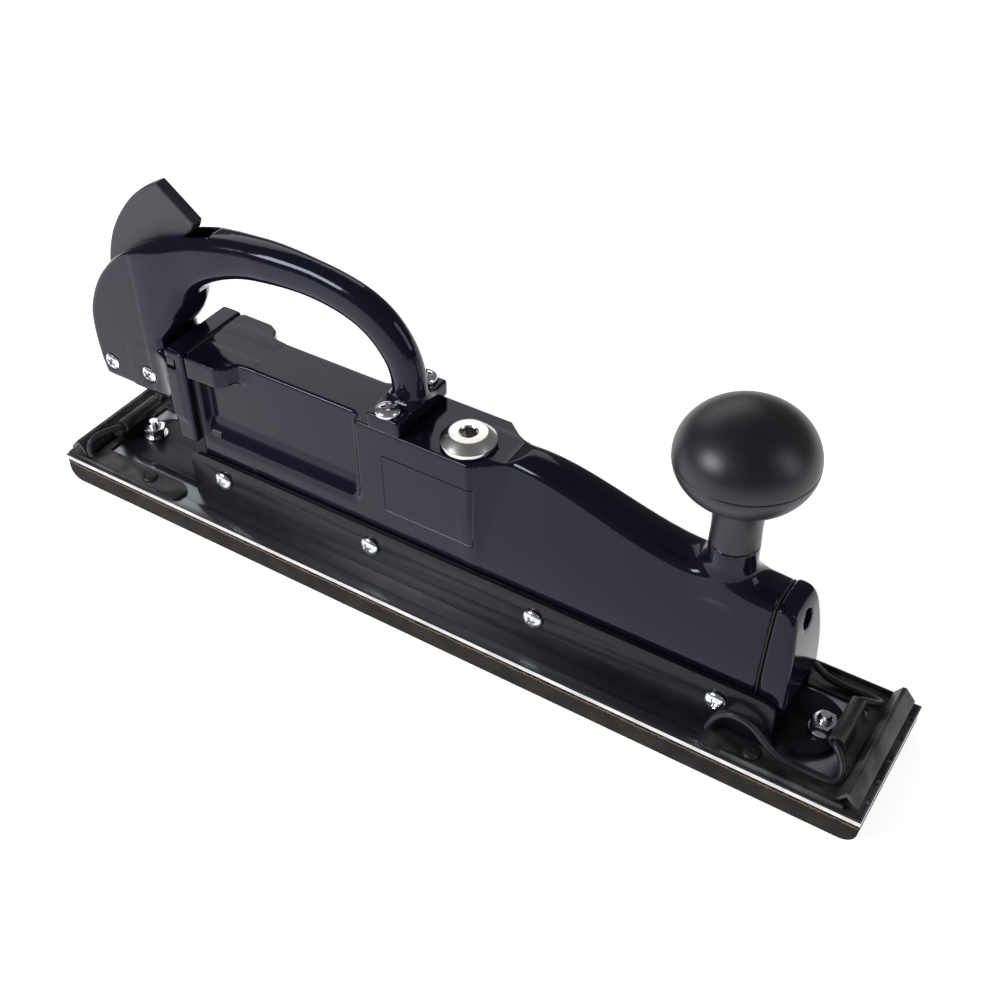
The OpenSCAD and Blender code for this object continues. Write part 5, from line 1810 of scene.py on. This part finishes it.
@dataclass
class SheetClip:
    """One spring clip that grips the end of a sandpaper strip."""

    shop: Workshop
    trees: TreeSet
    end: str
    side: int
    wire_radius: float = 1.55
    front_route: tuple[Point3, ...] = (
        (143.8, -25.4, 18.4), (146.6, -25.4, 26.5), (151.6, -25.4, 31.6), (157.6, -25.4, 32.4),
        (163.6, -25.4, 30), (169, -25.4, 24.6), (174.6, -25.4, 20.2), (181, -25.2, 18.6), (190, -25.2, 18.4),
        (197.6, -25, 18.8), (200.6, -22.6, 20.6), (199.8, -19, 23.2), (196.6, -15.6, 26), (194, -13.4, 27.2),
        (193.6, -10, 27.2),
    )
    rear_route: tuple[Point3, ...] = (
        (200, -30.8, 18), (200.8, -30.4, 21.6), (201, -28.6, 25), (199.2, -23.4, 27), (195.8, -16.6, 27.4),
        (193.6, -12.6, 27.2), (193.6, -10, 27.2),
    )

    def build(self) -> None:
        """Builds and dresses the clip."""
        end = self.end
        base = softened_copy(f"{end}_clip_base", f"{end}_clip_sheet", 0.25, 2)
        self.shop.deliver(base, Coating.OXIDE, "shoe", "oxide_steel")
        jaw = softened_copy(f"{end}_clip_jaw", f"{end}_jaw_bar", 0.25, 2)
        self.shop.deliver(jaw, Coating.OXIDE, f"{end}_jaw", "oxide_steel")
        self._wire()

    def _wire(self) -> None:
        """Bends the wire spring between the base and the jaw."""
        route = self.front_route if self.end == "front" else self.rear_route
        near = smooth_curve(route, 8)
        far = near[::-1] * np.array([1, -1, 1])
        whole = np.concatenate([near, far]) * np.array([self.side, 1, 1])
        host = path_object(f"{self.end}_wire_spring", [whole])
        run_tree(
            host, self.trees.wire, Radius=self.wire_radius * MM, Finish=self.shop.material(Coating.OXIDE)
        )
        self.shop.dress(host, Coating.OXIDE)
        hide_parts(f"{self.end}_clip_wire")
        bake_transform(host)
        LOG.info("%s: bends between the shoe and its jaw", host.name)


# ---------------------------------------------------------------- inner parts


@dataclass
class InnerParts:
    """What the castings hold inside.

    Their frame shapes are right, so they get their finish and soft edges.
    """

    shop: Workshop

    def build(self) -> None:
        """Dresses every inner part."""
        softened = {
            "valve_block": ("valve_body", Coating.ALUMINIUM, "body", "machined_aluminium", 0.35),
            "inlet_bushing": ("inlet_sleeve", Coating.BRASS, "body", "brass", 0.3),
            "front_cap_gasket": ("cap_gasket", Coating.GASKET, "body", "gasket", 0.12),
            "rear_gasket": ("flange_gasket", Coating.GASKET, "body", "gasket", 0.12),
        }
        for node, (name, coating, body, slot, width) in softened.items():
            self.shop.deliver(softened_copy(node, name, width), coating, body, slot)
        kept = {
            Coating.GROUND: (
                "lever_pin", "valve_stem", "pinion", "piston", "spool", "spool_sleeve",
            ),
            Coating.ZINC: ("inlet_screen", "knob_stud"),
            Coating.SEAL: ("plug_seal", "piston_seals"),
            Coating.BRONZE: ("upper_bush", "lower_bush"),
            Coating.ALUMINIUM: ("rear_cylinder_head", "spool_stops"),
            Coating.FELT: ("exhaust_felt",),
        }
        for coating, nodes in kept.items():
            for node in nodes:
                self.shop.keep(node, coating)


# ---------------------------------------------------------------- studio


@dataclass
class Studio:
    """A plain pale floor, soft lights and the camera."""

    azimuth: float = 32.427
    elevation: float = 41.408
    roll: float = -0.42
    place: Point3 = (270.96, -383.09, 471.2)
    lens: float = 50.25
    shift: Point2 = (-0.0011, -0.0011)

    def build(self) -> None:
        """Sets up everything that isn't part of the object."""
        self._camera()
        self._floor()
        self._world()
        self._lights()
        bpy.context.scene.view_settings.view_transform = "Standard"

    def _camera(self) -> None:
        """Makes the camera."""
        a, e, r = (math.radians(v) for v in (self.azimuth, self.elevation, self.roll))
        back = Vector((math.sin(a) * math.cos(e), -math.cos(a) * math.cos(e), math.sin(e)))
        right = Vector((math.cos(a), math.sin(a), 0))
        up = back.cross(right)
        turned = right * math.cos(r) + up * math.sin(r)
        raised = up * math.cos(r) - right * math.sin(r)
        data = bpy.data.cameras.new("camera")
        data.lens, data.sensor_width = self.lens, 36.0
        data.shift_x, data.shift_y = self.shift
        data.clip_start, data.clip_end = 0.02, 20.0
        camera = bpy.data.objects.new("camera", data)
        bpy.context.scene.collection.objects.link(camera)
        pose = Matrix((turned, raised, back)).transposed().to_4x4()
        pose.translation = Vector(self.place) * MM
        camera.matrix_world = pose
        bpy.context.scene.camera = camera

    def _floor(self) -> None:
        """Makes the pale floor."""
        shape = bmesh.new()
        bmesh.ops.create_grid(shape, x_segments=2, y_segments=2, size=4000)
        floor = from_bmesh("floor", shape)
        floor.location.z = -0.0004
        material = bpy.data.materials.new("floor_pale")
        material.use_nodes = True
        bench = NodeBench(material.node_tree)
        shader = material.node_tree.nodes["Principled BSDF"]
        shader.inputs["Base Color"].default_value = (0.86, 0.86, 0.86, 1)
        shader.inputs["Roughness"].default_value = 0.9
        shader.inputs["Specular IOR Level"].default_value = 0.0
        shader.inputs["Emission Color"].default_value = (1, 1, 1, 1)
        shader.inputs["Emission Strength"].default_value = 0.78
        bench.feed(shader)
        floor.data.materials.append(material)

    def _world(self) -> None:
        """Sets an even dim surround."""
        world = bpy.data.worlds.new("studio")
        world.use_nodes = True
        ground = world.node_tree.nodes["Background"]
        ground.inputs["Color"].default_value = (0.93, 0.94, 1.0, 1)
        ground.inputs["Strength"].default_value = 0.16
        bpy.context.scene.world = world

    def _light(self, name: str, spot: Point3, aim: Point3, size: Point2, power: float) -> None:
        """Hangs a rectangular soft box that faces a point.

        Args:
            name: The lamp's name.
            spot: Where it hangs, in metres.
            aim: The point that it faces.
            size: Its width and height, in metres.
            power: Its power, in watts.
        """
        data = bpy.data.lights.new(name, "AREA")
        data.shape = "RECTANGLE"
        data.size, data.size_y = size
        data.energy = power
        lamp = bpy.data.objects.new(name, data)
        bpy.context.scene.collection.objects.link(lamp)
        direction = Vector(aim) - Vector(spot)
        lamp.matrix_world = Matrix.Translation(spot) @ direction.to_track_quat("-Z", "Y").to_matrix().to_4x4()

    def _lights(self) -> None:
        """Hangs the soft boxes."""
        self._light("key_box", (-0.62, -0.9, 0.8), (0, 0, 0.08), (0.5, 0.4), 11.0)
        self._light("rear_box", (-0.75, 0.85, 0.85), (0, 0, 0.08), (1.2, 0.7), 3.6)
        self._light("right_box", (1.25, 0.2, 0.75), (0.1, 0, 0.08), (0.4, 0.9), 3.0)


def main() -> None:
    """Builds the whole tool round its frame."""
    logging.basicConfig(level=logging.INFO, format="%(name)s: %(message)s")
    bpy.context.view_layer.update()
    Studio().build()
    shop, trees = Workshop(), TreeSet()
    BodyCasting(shop).build()
    FrontCap(shop).build()
    HandleCasting(shop).build()
    ThrottleLever(shop, trees).build()
    BallKnob(shop).build()
    PinionPlug(shop).build()
    Fasteners(shop, trees).build()
    Shoe(shop).build()
    for end, side in (("front", 1), ("rear", -1)):
        SheetClip(shop, trees, end, side).build()
    InnerParts(shop).build()


if __name__ == "__main__":
    main()
